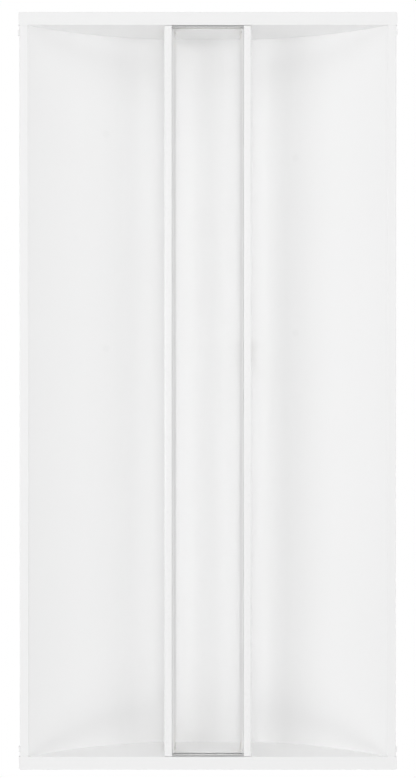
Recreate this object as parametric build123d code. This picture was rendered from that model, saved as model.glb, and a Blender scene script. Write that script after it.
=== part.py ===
from build123d import *

import math
import os

# Recessed 2 ft x 4 ft ceiling light, face down, as it lies in its ceiling grid.
# +X runs along the light, +Y across it and +Z up into the ceiling. The origin is the
# centre of the rim's underside, so z = 0 is the plane that rests on the grid.
# "Right" is +Y, "left" is -Y, "head" is +X and "foot" is -X.

# ------------------------------------------------------------------ overall, mm
LENGTH = 1212.8            # over the end plates
BODY_WIDTH = 603.2         # over the side rails' outer walls
BAND_WIDTH = 20.8          # visible band of an end plate
FLANGE_WIDTH = 14.0        # visible flange of a side rail
RAIL_TOP = 38.6            # top of the side rails, just over a 38 mm grid tee
SHEET = 0.8                # steel of the rails and end plates
VAULT_SHEET = 0.7          # steel of the arched reflector
CLOSE = 0.1                # gap between fixed neighbours
LOOSE = 0.3                # gap between pieces that move past each other
BEND = 1.6                 # outer radius of a folded edge
PLATE_CORNER = 3.0         # plan radius of an end plate's corner
RETURN_GAP = 0.5           # between a side rail and the end plate wrapped round it
RAIL_END_GAP = 1.0         # between a side rail's end and the end plate's outer wall
PLATE_TOP_FLANGE = 14.0    # width of the end plate's top flange

# ------------------------------------------------------------- arched reflector
CROWN_Z = 64.6             # underside of the flat crown above the rim
CROWN_RADIUS = 740.0       # arch beside the flat crown
SHOULDER_START = 140.0     # |y| where the arch tightens towards the flange
LIP_WIDTH = 12.8           # flat lip of the reflector on the rail's hem
VAULT_OVER = 4.4           # reach of the arch past the end plates' inner walls
TONGUE_WIDTH = 120.0       # crown tongue that is screwed to the end plate
TONGUE_LENGTH = 10.0
CLINCH_RADIUS = 5.5        # round clinch marks in the reflector's face
CLINCH_DEPTH = 0.25

# --------------------------------------------------------------------- light bar
BAR_WIDTH = 140.0          # over both white trims
BAR_FACE_Z = 1.0           # underside of the trims above the rim plane
BAR_GAP = 0.6              # between the bar's ends and the end plates
TRIM_FACE = 12.5           # width of a trim's visible face
TRIM_HEIGHT = 25.0
TRIM_SHEET = 1.2
TRIM_ROUND = 4.0           # outer lower edge of a trim
TRIM_RETURN = 12.0         # top return of a trim
LIP_SHEET = 1.2            # lips of an LED channel
WEB_SHEET = 2.0            # web of an LED channel
LIP_RECESS = 1.0           # lower lip set back behind the trim's face
UPPER_LIP_REACH = 3.2      # upper lip seen past the trim's face
TOP_LIP_REACH = 5.6        # channel's top flange seen past the trim's face
PANEL_THICKNESS = 5.0
PANEL_EDGE_GAP = 0.5       # between the panel's edge and the LED chips
SEAL_THICKNESS = 1.6
BOARD_THICKNESS = 1.0
TAPE_THICKNESS = 0.2
BOARD_END_GAP = 10.0       # from a board's end to the bar's end
BOARD_SPLIT = 30.0         # gap between the two boards of one side
CHIP_SIZE = (3.0, 0.7, 2.8)
CHIP_PITCH = 22.4
TIE_SHEET = 1.2
TIE_BACK = 3.4             # from the tie's back to the end plate
BLOCK_LENGTH = 25.0
PIVOT_RADIUS = 2.5
PIVOT_CLEARANCE = 0.06
PIVOT_REACH = 8.4          # pivot pin past the end plate's inner face
BUSH_FLANGE = 0.4
LEAD_RADIUS = 1.0          # internal leads
BAR_LEAD_RADIUS = 1.6
GROMMET_X = 20.0
SLOT_HALF = 12.0           # half length of the lead slot in the upper lip

# ----------------------------------------------------------------- catch of the bar
CATCH_X_INSET = 15.6       # ball studs inboard of the end plates' inner walls
BALL_RADIUS = 3.5
STUD_RADIUS = 2.0
BALL_RISE = 8.0            # ball centre above the trim
SOCKET_RADIUS = 6.0
SOCKET_MOUTH = 3.2
CATCH_WIDTH = 10.8
CATCH_SHEET = 1.2
CATCH_RIVET_RADIUS = 1.2
CATCH_TOP_GAP = 7.6        # between a catch bracket and the crown

# ---------------------------------------------------------------------- grid clips
CLIP_INSET = 46.4          # from a clip's rivet to the end of the light
CLIP_WIDTH = 13.6
CLIP_REACH = 30.0          # rivet to tip
CLIP_SHEET = 1.2
CLIP_TAB = 8.0
RIVET_RADIUS = 2.0
RUNNING = 0.06             # radial clearance of a turning fit
LUG_INSET = 32.6           # from a centring lug's middle to the end of the light
LUG_LENGTH = 9.0
LUG_REACH = 2.0
LUG_HEIGHT = 9.0

# ---------------------------------------------------------------------- driver box
BOX_START = 60.0           # x of the box's foot end
BOX_LENGTH = 363.0
BOX_WIDTH = 139.0
BOX_SIDE_GAP = 15.6        # between the box and the side rail's flange
BOX_SHEET = 1.0
BOX_HEADROOM = 13.7        # box top above the crown's back
BOX_FOOT_X = (97.0, 386.0)
BOX_FOOT_LENGTH = 22.0
BOX_FOOT_WIDTH = 24.0
BOX_FLANGE = 12.0
BOX_ARM_X = (135.0, 345.0)
BOX_ARM_WIDTH = 30.0
KNOCKOUT_RADIUS = 11.1     # half-inch trade size
COVER_OVERHANG = 1.6
COVER_LIP = 10.0
HINGE_X = (112.0, 371.0)
HINGE_PIN_RADIUS = 1.0
KNUCKLE_RADIUS = 2.2
KNUCKLE_LENGTH = 12.0
DRIVER_START = 120.0
DRIVER_SIZE = (240.0, 25.0, 30.0)
DRIVER_HEADROOM = 5.0      # between the driver and the box's top flange
DRIVER_TAB = 10.0
TERMINAL_X = 386.0
TERMINAL_SIZE = (26.0, 18.0, 26.0)
TERMINAL_RISE = 2.0        # terminal block's base above the driver's
POLE_PITCH = 6.0
GROUND_X = 396.0
GROUND_DROP = 13.0         # earth screw below the driver's base
CABLE_RADIUS = 2.5
SOCKET_X = 75.0            # bar's socket and plug in the crown
SOCKET_LENGTH = 18.0
SOCKET_HEIGHT = 10.7
PLUG_HEIGHT = 10.4
STIFFENER_X = (55.0, 440.0)
STIFFENER_CLINCH_X = (71.0, 424.0)
STIFFENER_Y = -168.0
STIFFENER_FOOT = 18.0
STIFFENER_RISE = 14.0
HANGER_RADIUS = 3.5
HANGER_Y = 240.0

# ------------------------------------------------------- places worked out from them
HALF_LENGTH = LENGTH / 2
HALF_BODY = BODY_WIDTH / 2
WALL_X = HALF_LENGTH - BAND_WIDTH              # inner face of an end plate
VAULT_HALF = HALF_BODY - FLANGE_WIDTH          # where the arch springs
FLANGE_Z = SHEET                               # side flange lies on the end band
SPRING_Z = FLANGE_Z + 2 * SHEET                # the arch springs from the rail's hem
LIP_HALF = VAULT_HALF + LIP_WIDTH
PLATE_HALF = HALF_BODY + RETURN_GAP + SHEET
PLATE_TOP = RAIL_TOP + SHEET
RAIL_END = HALF_LENGTH - SHEET - RAIL_END_GAP
VAULT_END = WALL_X + VAULT_OVER
RAIL_MID = HALF_BODY - FLANGE_WIDTH / 2        # middle of a rail's top flange
CORNER_X = HALF_LENGTH - PLATE_TOP_FLANGE / 2
CLIP_X = HALF_LENGTH - CLIP_INSET
LUG_X = HALF_LENGTH - LUG_INSET
CROWN_HALF = BAR_WIDTH / 2
CROWN_BACK = CROWN_Z + VAULT_SHEET

BAR_HALF = BAR_WIDTH / 2
BAR_END = WALL_X - BAR_GAP
TRIM_TOP = BAR_FACE_Z + TRIM_HEIGHT
TRIM_INNER = BAR_HALF - TRIM_FACE
WEB_OUTER = BAR_HALF - TRIM_SHEET
WEB_INNER = WEB_OUTER - WEB_SHEET
LIP_Z = BAR_FACE_Z + TRIM_SHEET                # underside of the lower lip
SLOT_Z = LIP_Z + LIP_SHEET                     # the panel stands here
UPPER_LIP_Z = SLOT_Z + PANEL_THICKNESS + LOOSE
RACE_Z = UPPER_LIP_Z + LIP_SHEET               # floor of the wiring raceway
CHANNEL_TOP = TRIM_TOP - TRIM_SHEET
RACE_TOP = CHANNEL_TOP - LIP_SHEET
BOARD_FACE = WEB_INNER - TAPE_THICKNESS - BOARD_THICKNESS
CHIP_FACE = BOARD_FACE - CHIP_SIZE[1]
PANEL_HALF = CHIP_FACE - PANEL_EDGE_GAP
PANEL_END = BAR_END - SEAL_THICKNESS
TIE_X = WALL_X - TIE_BACK - TIE_SHEET          # inner face of an end tie
BLOCK_INNER = TRIM_INNER + CLOSE
PIVOT_Y = (BLOCK_INNER + WEB_INNER) / 2
PIVOT_Z = (RACE_Z + RACE_TOP) / 2
SCREW_Y = BAR_HALF - 6.0                       # trim screws
GROMMET_Y = WEB_INNER - 3.8
BRIDGE_Y = BOARD_FACE - 0.4                    # middle of the board bridges
RACE_LEAD_Y = TRIM_INNER - 1.5                 # the lead along the raceway
RACE_LEAD_Z = RACE_Z + LEAD_RADIUS + LOOSE
CATCH_X = WALL_X - CATCH_X_INSET
CATCH_Y = -(BAR_HALF - 5.5)
BALL_Z = TRIM_TOP + BALL_RISE
CATCH_PLATE_Z = BALL_Z + BALL_RADIUS + 2.9
CATCH_TOP = CROWN_Z - CATCH_TOP_GAP
CATCH_RIVET_Z = (CATCH_PLATE_Z + CATCH_SHEET + CATCH_TOP) / 2

BOX_OUTER = VAULT_HALF - BOX_SIDE_GAP
BOX_INNER = BOX_OUTER - BOX_WIDTH
BOX_END = BOX_START + BOX_LENGTH
BOX_TOP = CROWN_BACK + BOX_HEADROOM
BOX_SEAT = VAULT_SHEET + CLOSE                 # box edges clear of the arch's back
HINGE_Y = BOX_INNER - KNUCKLE_RADIUS - LOOSE
HINGE_Z = BOX_TOP - KNUCKLE_RADIUS - LOOSE
COVER_SCREW_X = BOX_START + BOX_LENGTH / 2
COVER_SCREW_Y = BOX_OUTER - BOX_SHEET - BOX_FLANGE / 2
DRIVER_END = DRIVER_START + DRIVER_SIZE[0]
DRIVER_BACK = BOX_OUTER - BOX_SHEET
DRIVER_Z = BOX_TOP - BOX_SHEET - DRIVER_HEADROOM - DRIVER_SIZE[2]
TERMINAL_Z = DRIVER_Z + TERMINAL_RISE
GROUND_Z = DRIVER_Z - GROUND_DROP
CABLE_Z = CROWN_BACK + 5.7
SOCKET_Y = BAR_HALF - 4.5

# The arch: a flat crown, an arc of CROWN_RADIUS and a tangent shoulder arc that
# ends at the hem. The shoulder's radius follows from the arch's span and rise.
CROWN_CENTRE_Z = CROWN_Z - math.sqrt(CROWN_RADIUS**2 - CROWN_HALF**2)
TURN_SIN = SHOULDER_START / CROWN_RADIUS
TURN_COS = math.sqrt(1 - TURN_SIN**2)
TURN_Z = CROWN_CENTRE_Z + CROWN_RADIUS * TURN_COS
TURN_RUN = VAULT_HALF - SHOULDER_START
TURN_DROP = TURN_Z - SPRING_Z
SHOULDER_RADIUS = (TURN_RUN**2 + TURN_DROP**2) / (2 * (TURN_DROP * TURN_COS - TURN_RUN * TURN_SIN))
SHOULDER_Y = SHOULDER_START - SHOULDER_RADIUS * TURN_SIN
SHOULDER_Z = TURN_Z - SHOULDER_RADIUS * TURN_COS


# ------------------------------------------------------------------ basic shapes
def block(x, y, z):
    """A box given by its two limits along each axis."""
    size = [max(pair) - min(pair) for pair in (x, y, z)]
    return Pos(min(x), min(y), min(z)) * Box(*size, align=(Align.MIN, Align.MIN, Align.MIN))


def rod_x(x, y, z, radius):
    """A round bar along X between two limits."""
    rod = Cylinder(radius, max(x) - min(x), align=(Align.CENTER, Align.CENTER, Align.MIN))
    return Pos(min(x), y, z) * Rot(0, 90, 0) * rod


def rod_y(x, y, z, radius):
    """A round bar along Y between two limits."""
    rod = Cylinder(radius, max(y) - min(y), align=(Align.CENTER, Align.CENTER, Align.MIN))
    return Pos(x, min(y), z) * Rot(-90, 0, 0) * rod


def rod_z(x, y, z, radius):
    """A round bar along Z between two limits."""
    rod = Cylinder(radius, max(z) - min(z), align=(Align.CENTER, Align.CENTER, Align.MIN))
    return Pos(x, y, min(z)) * rod


def prism(points, x):
    """A section given by its (y, z) corners, run along X between two limits."""
    outline = Polyline(*[(min(x), y, z) for y, z in points], close=True)
    return extrude(make_face(outline), max(x) - min(x), dir=(1, 0, 0))


def round_along(shape, y, z, radius):
    """Rounds the edges along X that pass through the point y, z."""
    near = [
        edge
        for edge in shape.edges().filter_by(Axis.X)
        if abs(edge.center().Y - y) < 0.01 and abs(edge.center().Z - z) < 0.01
    ]
    return fillet(near, radius)


def left_of(shape):
    """The same piece on the other side of the light."""
    return mirror(shape, about=Plane.XZ)


def foot_of(shape):
    """The same piece at the other end of the light."""
    return mirror(shape, about=Plane.YZ)


def group(*shapes):
    """Like pieces kept as separate solids of one part."""
    return Compound([solid for shape in shapes for solid in shape.solids()])


def screw(head_radius, head_height, shank_radius, shank_length):
    """A pan-head screw on +Z, its head standing on the plane z = 0, with a cross recess."""
    head = rod_z(0, 0, (0, head_height), head_radius)
    head = fillet(head.edges().group_by(Axis.Z)[-1], head_height * 0.4)
    shank = rod_z(0, 0, (-shank_length, 0), shank_radius)
    arm = head_radius * 0.55
    width = head_radius * 0.12
    depth = (head_height * 0.5, head_height + 1)
    cross = block((-arm, arm), (-width, width), depth) + block((-width, width), (-arm, arm), depth)
    return head + shank - cross


def tube(points, radii, radius):
    """A round lead along straight runs joined by tangent arcs."""
    path = FilletPolyline(*points, radius=radii)
    start = path @ 0
    section = Plane(origin=start, z_dir=path % 0) * Circle(radius)
    lead = sweep(section, path=path)
    expected = math.pi * radius**2 * path.length
    turns = ", ".join(f"{turn:.1f}" for turn in radii)
    print(f"lead length {path.length:.1f}, radii {turns}, volume ratio {lead.volume / expected:.4f}")
    return lead


def bend_radii(points, share=0.45):
    """The largest arc that fits each corner of a lead's route."""
    corners = []
    for before, here, after in zip(points, points[1:], points[2:]):
        first = Vector(*here) - Vector(*before)
        second = Vector(*after) - Vector(*here)
        turn = math.radians(first.get_angle(second))
        corners.append(share * min(first.length, second.length) / math.tan(turn / 2))
    return corners


# --------------------------------------------------------------- the arch's curve
def arch_breaks(offset):
    """|y| where the curve at an offset turns from crown to arc, shoulder and lip."""
    flat = math.sqrt((CROWN_RADIUS + offset) ** 2 - (CROWN_Z + offset - CROWN_CENTRE_Z) ** 2)
    turn = (CROWN_RADIUS + offset) * TURN_SIN
    drop = SPRING_Z + offset - SHOULDER_Z
    spring = SHOULDER_Y + math.sqrt((SHOULDER_RADIUS + offset) ** 2 - drop**2)
    return flat, turn, spring


def arch_z(y, offset=0.0):
    """Height of the arch's curve at an offset outwards from its visible face."""
    flat, turn, spring = arch_breaks(offset)
    if abs(y) <= flat:
        return CROWN_Z + offset
    if abs(y) <= turn:
        return CROWN_CENTRE_Z + math.sqrt((CROWN_RADIUS + offset) ** 2 - y**2)
    if abs(y) <= spring:
        return SHOULDER_Z + math.sqrt((SHOULDER_RADIUS + offset) ** 2 - (abs(y) - SHOULDER_Y) ** 2)
    return SPRING_Z + offset


def arch_slope(y):
    """Angle of the arch at y, in degrees, positive where it rises with y."""
    step = 0.01
    return math.degrees(math.atan2(arch_z(y + step) - arch_z(y - step), 2 * step))


def arch_path(y_from, y_to, offset, x):
    """Edges along the arch's curve at one offset, at the given x."""
    breaks = [side * place for place in arch_breaks(offset) for side in (-1, 1)]
    stops = [y_from, *sorted(place for place in breaks if y_from < place < y_to), y_to]
    flat, _, spring = arch_breaks(offset)
    edges = []
    for start, end in zip(stops, stops[1:]):
        middle = (start + end) / 2
        points = [(x, y, arch_z(y, offset)) for y in (start, middle, end)]
        straight = abs(middle) < flat or abs(middle) > spring
        edges.append(Line(points[0], points[2]) if straight else ThreePointArc(*points))
    return edges


def level_path(y_from, y_to, z, x):
    """A level edge across the light."""
    return [Line((x, y_from, z), (x, y_to, z))]


def between(lower, upper, length):
    """The plate between two paths across the light, run along X."""
    sides = [Line(lower[0] @ 0, upper[0] @ 0), Line(lower[-1] @ 1, upper[-1] @ 1)]
    return extrude(make_face([*lower, *upper, *sides]), length, dir=(1, 0, 0))


# -------------------------------------------------------------------------- housing
def clinch_mark(x, y):
    """The shallow round mark that a clinch leaves in the reflector's visible face."""
    disc = Cylinder(CLINCH_RADIUS, 2 * CLINCH_DEPTH)
    return Pos(x, y, arch_z(y)) * Rot(arch_slope(y), 0, 0) * disc


def vault_reflector():
    """The arched sheet, with a tongue at each end of its crown and its clinch marks."""
    lower = arch_path(-LIP_HALF, LIP_HALF, 0.0, -VAULT_END)
    upper = arch_path(-LIP_HALF, LIP_HALF, VAULT_SHEET, -VAULT_END)
    sheet = between(lower, upper, 2 * VAULT_END)
    tongue_end = VAULT_END + TONGUE_LENGTH
    tongue_half = TONGUE_WIDTH / 2
    sheet += block((-tongue_end, tongue_end), (-tongue_half, tongue_half), (CROWN_Z, CROWN_BACK))
    box_marks = [clinch_mark(x, BOX_INNER + BOX_FOOT_WIDTH / 2) for x in BOX_FOOT_X]
    stiffener_marks = [clinch_mark(x, STIFFENER_Y) for x in STIFFENER_CLINCH_X]
    socket_hole = block(
        (SOCKET_X - SOCKET_LENGTH / 2 + 1.8, SOCKET_X + SOCKET_LENGTH / 2 - 1.8),
        (SOCKET_Y - 4.2, SOCKET_Y + 4.2),
        (CROWN_Z - 1, CROWN_BACK + 1),
    )
    screws = [
        rod_z(x, y, (CROWN_Z - 1, CROWN_BACK + 1), 1.7)
        for x in (-crown_screw_x(), crown_screw_x())
        for y in crown_screw_places()
    ]
    return sheet - [*box_marks, *stiffener_marks, socket_hole, *screws]


def crown_screw_x():
    """x of the screws through the crown's tongues."""
    return VAULT_END + TONGUE_LENGTH / 2


def crown_screw_places():
    """y of the two screws in each tongue."""
    return (-TONGUE_WIDTH * 0.3, TONGUE_WIDTH * 0.3)


def centring_lug(x):
    """A small wedge pressed out of the rail's wall, which centres it in the grid."""
    wall = HALF_BODY - SHEET / 2
    outer = HALF_BODY + LUG_REACH
    points = [
        (wall, FLANGE_Z),
        (outer, FLANGE_Z),
        (outer, FLANGE_Z + LUG_REACH),
        (wall, FLANGE_Z + LUG_HEIGHT),
    ]
    return prism(points, (x - LUG_LENGTH / 2, x + LUG_LENGTH / 2))


def side_rail(arms=()):
    """The right-hand C channel: visible flange with its hem, outer wall and top flange."""
    inner = VAULT_HALF
    wall = HALF_BODY - SHEET
    hem_end = wall - BEND
    points = [
        (inner, FLANGE_Z),
        (HALF_BODY, FLANGE_Z),
        (HALF_BODY, RAIL_TOP),
        (inner, RAIL_TOP),
        (inner, RAIL_TOP - SHEET),
        (wall, RAIL_TOP - SHEET),
        (wall, FLANGE_Z + SHEET),
        (hem_end, FLANGE_Z + SHEET),
        (hem_end, SPRING_Z),
        (inner, SPRING_Z),
    ]
    rail = prism(points, (-RAIL_END, RAIL_END))
    rail = round_along(rail, HALF_BODY, FLANGE_Z, BEND)
    rail = round_along(rail, HALF_BODY, RAIL_TOP, BEND)
    rail = round_along(rail, wall, FLANGE_Z + SHEET, BEND - SHEET)
    rail = round_along(rail, wall, RAIL_TOP - SHEET, BEND - SHEET)
    rail = round_along(rail, inner, FLANGE_Z, SHEET * 0.9)
    for x in (-LUG_X, LUG_X):
        rail += centring_lug(x)
    through = (RAIL_TOP - 2 * SHEET, RAIL_TOP + SHEET)
    rivets = [rod_z(x, RAIL_MID, through, RIVET_RADIUS) for x in (-CLIP_X, CLIP_X)]
    corners = [rod_z(x, RAIL_MID, through, 1.7) for x in (-CORNER_X, CORNER_X)]
    box_arms = [rod_z(x, RAIL_MID, through, 1.7) for x in arms]
    return rail - [*rivets, *corners, *box_arms]


def end_plate(catch_side=-1):
    """The head end plate: band, outer wall, returns, top flange and arched inner wall."""
    pan = block((WALL_X, HALF_LENGTH), (-PLATE_HALF, PLATE_HALF), (0, PLATE_TOP))
    uprights = pan.edges().filter_by(Axis.Z).sort_by(Axis.X)[-2:]
    pan = fillet(uprights, PLATE_CORNER)
    inside = block(
        (WALL_X - 1, HALF_LENGTH - SHEET),
        (-PLATE_HALF + SHEET, PLATE_HALF - SHEET),
        (SHEET, PLATE_TOP - SHEET),
    )
    inside = fillet(inside.edges().filter_by(Axis.Z).sort_by(Axis.X)[-2:], PLATE_CORNER - SHEET)
    flange_start = HALF_LENGTH - PLATE_TOP_FLANGE
    above = block(
        (WALL_X - 1, flange_start),
        (-PLATE_HALF - 1, PLATE_HALF + 1),
        (PLATE_TOP - SHEET, PLATE_TOP + 1),
    )
    plate = pan - [inside, above]
    lower_edges = [
        edge
        for edge in plate.edges().group_by(Axis.Z)[0]
        if edge.center().X > WALL_X + 0.1
    ]
    plate = fillet(lower_edges, SHEET * 0.9)
    wall_half = VAULT_HALF - LOOSE
    lower = level_path(-wall_half, wall_half, 0.0, WALL_X)
    upper = arch_path(-wall_half, wall_half, -CLOSE, WALL_X)
    plate += between(lower, upper, SHEET)
    plate -= fold_cutter(wall_half)
    tab_half = TONGUE_WIDTH / 2 - 10
    tab_end = VAULT_END + TONGUE_LENGTH
    plate += block((WALL_X, tab_end), (-tab_half, tab_half), (CROWN_Z - SHEET, CROWN_Z))
    return plate - end_plate_holes(catch_side)


def fold_cutter(wall_half):
    """What the fold between an end plate's band and inner wall takes off a square corner."""
    corner = block((WALL_X - 1, WALL_X + BEND * 0.7), (-wall_half, wall_half), (-1, BEND * 0.7))
    keep = rod_y(WALL_X + BEND * 0.7, (-wall_half, wall_half), BEND * 0.7, BEND * 0.7)
    return corner - keep


def end_plate_holes(catch_side):
    """Holes of the head end plate, with the catch on the given side of the light."""
    wall = (WALL_X - 1, WALL_X + SHEET + 1)
    outer = (HALF_LENGTH - SHEET - 1, HALF_LENGTH + 1)
    top = (PLATE_TOP - SHEET - 0.5, PLATE_TOP + 1)
    holes = [
        rod_x(wall, PIVOT_Y, PIVOT_Z, bush_radius()),
        rod_x(outer, PIVOT_Y, PIVOT_Z, bush_radius() + 2),
    ]
    holes += [rod_x(wall, y, CATCH_RIVET_Z, CATCH_RIVET_RADIUS) for y in catch_rivet_places()]
    holes += [rod_z(CORNER_X, y, top, 1.7) for y in (-RAIL_MID, RAIL_MID)]
    holes += [rod_z(CORNER_X, y, top, HANGER_RADIUS) for y in (-HANGER_Y, HANGER_Y)]
    crown = (CROWN_Z - SHEET - 1, CROWN_Z + 1)
    holes += [rod_z(crown_screw_x(), y, crown, 1.5) for y in crown_screw_places()]
    return holes


def corner_screws():
    """Four screws that hold the end plates' top flanges to the side rails."""
    one = screw(3.2, 2.0, 1.6, 8.0)
    places = [(x, y) for x in (-CORNER_X, CORNER_X) for y in (-RAIL_MID, RAIL_MID)]
    return group(*[Pos(x, y, PLATE_TOP) * one for x, y in places])


def crown_screws():
    """Four screws through the reflector's tongues into the end plates' tabs."""
    one = screw(3.2, 2.0, 1.5, 7.0)
    places = [(x, y) for x in (-crown_screw_x(), crown_screw_x()) for y in crown_screw_places()]
    return group(*[Pos(x, y, CROWN_BACK) * one for x, y in places])


def back_stiffener():
    """An angle clinched to the arch's back on the left side."""
    foot = block(STIFFENER_X, (-STIFFENER_FOOT / 2, STIFFENER_FOOT / 2), (0, BOX_SHEET))
    upstand_y = STIFFENER_FOOT / 2
    upstand = block(STIFFENER_X, (upstand_y - BOX_SHEET, upstand_y), (0, STIFFENER_RISE))
    angle = round_along(foot + upstand, upstand_y, 0, BOX_SHEET * 1.5)
    seat = arch_z(STIFFENER_Y, BOX_SEAT + CLOSE)
    return Pos(0, STIFFENER_Y, seat) * Rot(arch_slope(STIFFENER_Y), 0, 0) * angle


# ------------------------------------------------------------------------ grid clips
def grid_clip(along, across):
    """A swing-out clip on a side rail's top flange, folded back along the rail."""
    low = RAIL_TOP + CLOSE
    arm = block((-CLIP_REACH, 0), (-CLIP_WIDTH / 2, CLIP_WIDTH / 2), (low, low + CLIP_SHEET))
    eye = rod_z(0, 0, (low, low + CLIP_SHEET), CLIP_WIDTH / 2)
    tab = block(
        (-CLIP_REACH, -CLIP_REACH + CLIP_SHEET),
        (-CLIP_WIDTH / 2, CLIP_WIDTH / 2),
        (low, low + CLIP_TAB),
    )
    tab = fillet(tab.edges().filter_by(Axis.X).group_by(Axis.Z)[-1], 2.5)
    hole = rod_z(0, 0, (low - 1, low + CLIP_SHEET + 1), RIVET_RADIUS + RUNNING)
    clip = arm + eye + tab - hole
    turned = clip if along > 0 else mirror(clip, about=Plane.YZ)
    return Pos(along * CLIP_X, across * RAIL_MID, 0) * turned


def clip_rivets():
    """The four rivets that the clips turn on."""
    head_z = RAIL_TOP + 2 * CLOSE + CLIP_SHEET
    rivets = []
    for x in (-CLIP_X, CLIP_X):
        for y in (-RAIL_MID, RAIL_MID):
            shank = rod_z(x, y, (RAIL_TOP - SHEET, head_z), RIVET_RADIUS)
            head = rod_z(x, y, (head_z, head_z + 1.4), 4.0)
            head = fillet(head.edges().group_by(Axis.Z)[-1], 0.8)
            tail = rod_z(x, y, (RAIL_TOP - SHEET - 1.2, RAIL_TOP - SHEET), 3.2)
            rivets.append(shank + head + tail)
    return group(*rivets)


# ------------------------------------------------------- pivots and catches of the bar
def bush_radius():
    """Outer radius of a pivot bush."""
    return PIVOT_RADIUS + 1.5


def pivot_bushes():
    """The two flanged nylon bushes in the end plates' inner walls."""
    end = WALL_X + PIVOT_REACH - 1.8
    bush = rod_x((WALL_X, end), PIVOT_Y, PIVOT_Z, bush_radius())
    bush += rod_x((WALL_X - BUSH_FLANGE, WALL_X), PIVOT_Y, PIVOT_Z, bush_radius() + 2)
    bush += rod_x((WALL_X + SHEET, WALL_X + SHEET + 1.4), PIVOT_Y, PIVOT_Z, bush_radius() + 0.5)
    bore = rod_x((WALL_X - 2, end + 1), PIVOT_Y, PIVOT_Z, PIVOT_RADIUS + PIVOT_CLEARANCE)
    bush -= bore
    return group(bush, foot_of(bush))


def pivot_pins():
    """The two pins pressed into the bar's right-hand blocks, which turn in the bushes."""
    start = TIE_X - BLOCK_LENGTH + 7
    end = WALL_X + PIVOT_REACH
    pin = rod_x((start, end), PIVOT_Y, PIVOT_Z, PIVOT_RADIUS)
    head = rod_x((end - 1.6, end), PIVOT_Y, PIVOT_Z, PIVOT_RADIUS + 1.5)
    pin += fillet(head.edges().group_by(Axis.X)[-1], 0.5)
    return group(pin, foot_of(pin))


def catch_rivet_places():
    """y of the two rivets that hold a catch bracket to the end plate."""
    return (CATCH_Y - CATCH_WIDTH * 0.26, CATCH_Y + CATCH_WIDTH * 0.26)


def catch_brackets():
    """Two L brackets on the end plates that carry the snap sockets over the bar."""
    sides = (CATCH_Y - CATCH_WIDTH / 2, CATCH_Y + CATCH_WIDTH / 2)
    top = CATCH_PLATE_Z + CATCH_SHEET
    shelf = block((CATCH_X - 8, WALL_X), sides, (CATCH_PLATE_Z, top))
    upstand = block((WALL_X - CATCH_SHEET, WALL_X), sides, (CATCH_PLATE_Z, CATCH_TOP))
    bracket = shelf + upstand
    corner = [
        edge
        for edge in bracket.edges().filter_by(Axis.Y)
        if abs(edge.center().X - WALL_X) < 0.01 and abs(edge.center().Z - CATCH_PLATE_Z) < 0.01
    ]
    bracket = fillet(corner, 1.5)
    bracket -= rod_z(CATCH_X, CATCH_Y, (CATCH_PLATE_Z - 1, top + 1), 2.5)
    bracket -= [
        rod_x((WALL_X - 3, WALL_X + 1), y, CATCH_RIVET_Z, CATCH_RIVET_RADIUS)
        for y in catch_rivet_places()
    ]
    return group(bracket, foot_of(bracket))


def catch_rivets():
    """Two rivets for each catch bracket."""
    rivets = []
    face = WALL_X - CATCH_SHEET
    for y in catch_rivet_places():
        rivet = rod_x((face, WALL_X + SHEET), y, CATCH_RIVET_Z, CATCH_RIVET_RADIUS)
        head = rod_x((face - 1.0, face), y, CATCH_RIVET_Z, CATCH_RIVET_RADIUS + 1.0)
        rivet += fillet(head.edges().group_by(Axis.X)[0], 0.6)
        tail = (WALL_X + SHEET, WALL_X + SHEET + 1.4)
        rivet += rod_x(tail, y, CATCH_RIVET_Z, CATCH_RIVET_RADIUS + 0.5)
        rivets += [rivet, foot_of(rivet)]
    return group(*rivets)


def catch_sockets():
    """Two slit nylon sockets that the bar's ball studs snap into."""
    mouth_z = BALL_Z - 2.6
    socket = rod_z(CATCH_X, CATCH_Y, (mouth_z, CATCH_PLATE_Z), SOCKET_RADIUS)
    socket -= Pos(CATCH_X, CATCH_Y, BALL_Z) * Sphere(BALL_RADIUS + LOOSE)
    socket -= rod_z(CATCH_X, CATCH_Y, (mouth_z - 1, BALL_Z), SOCKET_MOUTH)
    reach = SOCKET_RADIUS + 1
    slit_z = (mouth_z - 1, BALL_Z + 2)
    socket -= block((CATCH_X - reach, CATCH_X + reach), (CATCH_Y - 0.5, CATCH_Y + 0.5), slit_z)
    socket -= block((CATCH_X - 0.5, CATCH_X + 0.5), (CATCH_Y - reach, CATCH_Y + reach), slit_z)
    top = CATCH_PLATE_Z + CATCH_SHEET
    socket += rod_z(CATCH_X, CATCH_Y, (CATCH_PLATE_Z, top), 2.5)
    socket += rod_z(CATCH_X, CATCH_Y, (top, top + 1.2), 3.3)
    return group(socket, foot_of(socket))


def ball_studs():
    """The two ball studs on the bar's left rail."""
    foot_z = TRIM_TOP - 6
    stud = rod_z(CATCH_X, CATCH_Y, (foot_z, BALL_Z), STUD_RADIUS)
    collar = Pos(CATCH_X, CATCH_Y, TRIM_TOP) * extrude(RegularPolygon(3.6, 6), 2.0)
    stud += collar
    stud += Pos(CATCH_X, CATCH_Y, BALL_Z) * Sphere(BALL_RADIUS)
    return group(stud, foot_of(stud))


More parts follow.
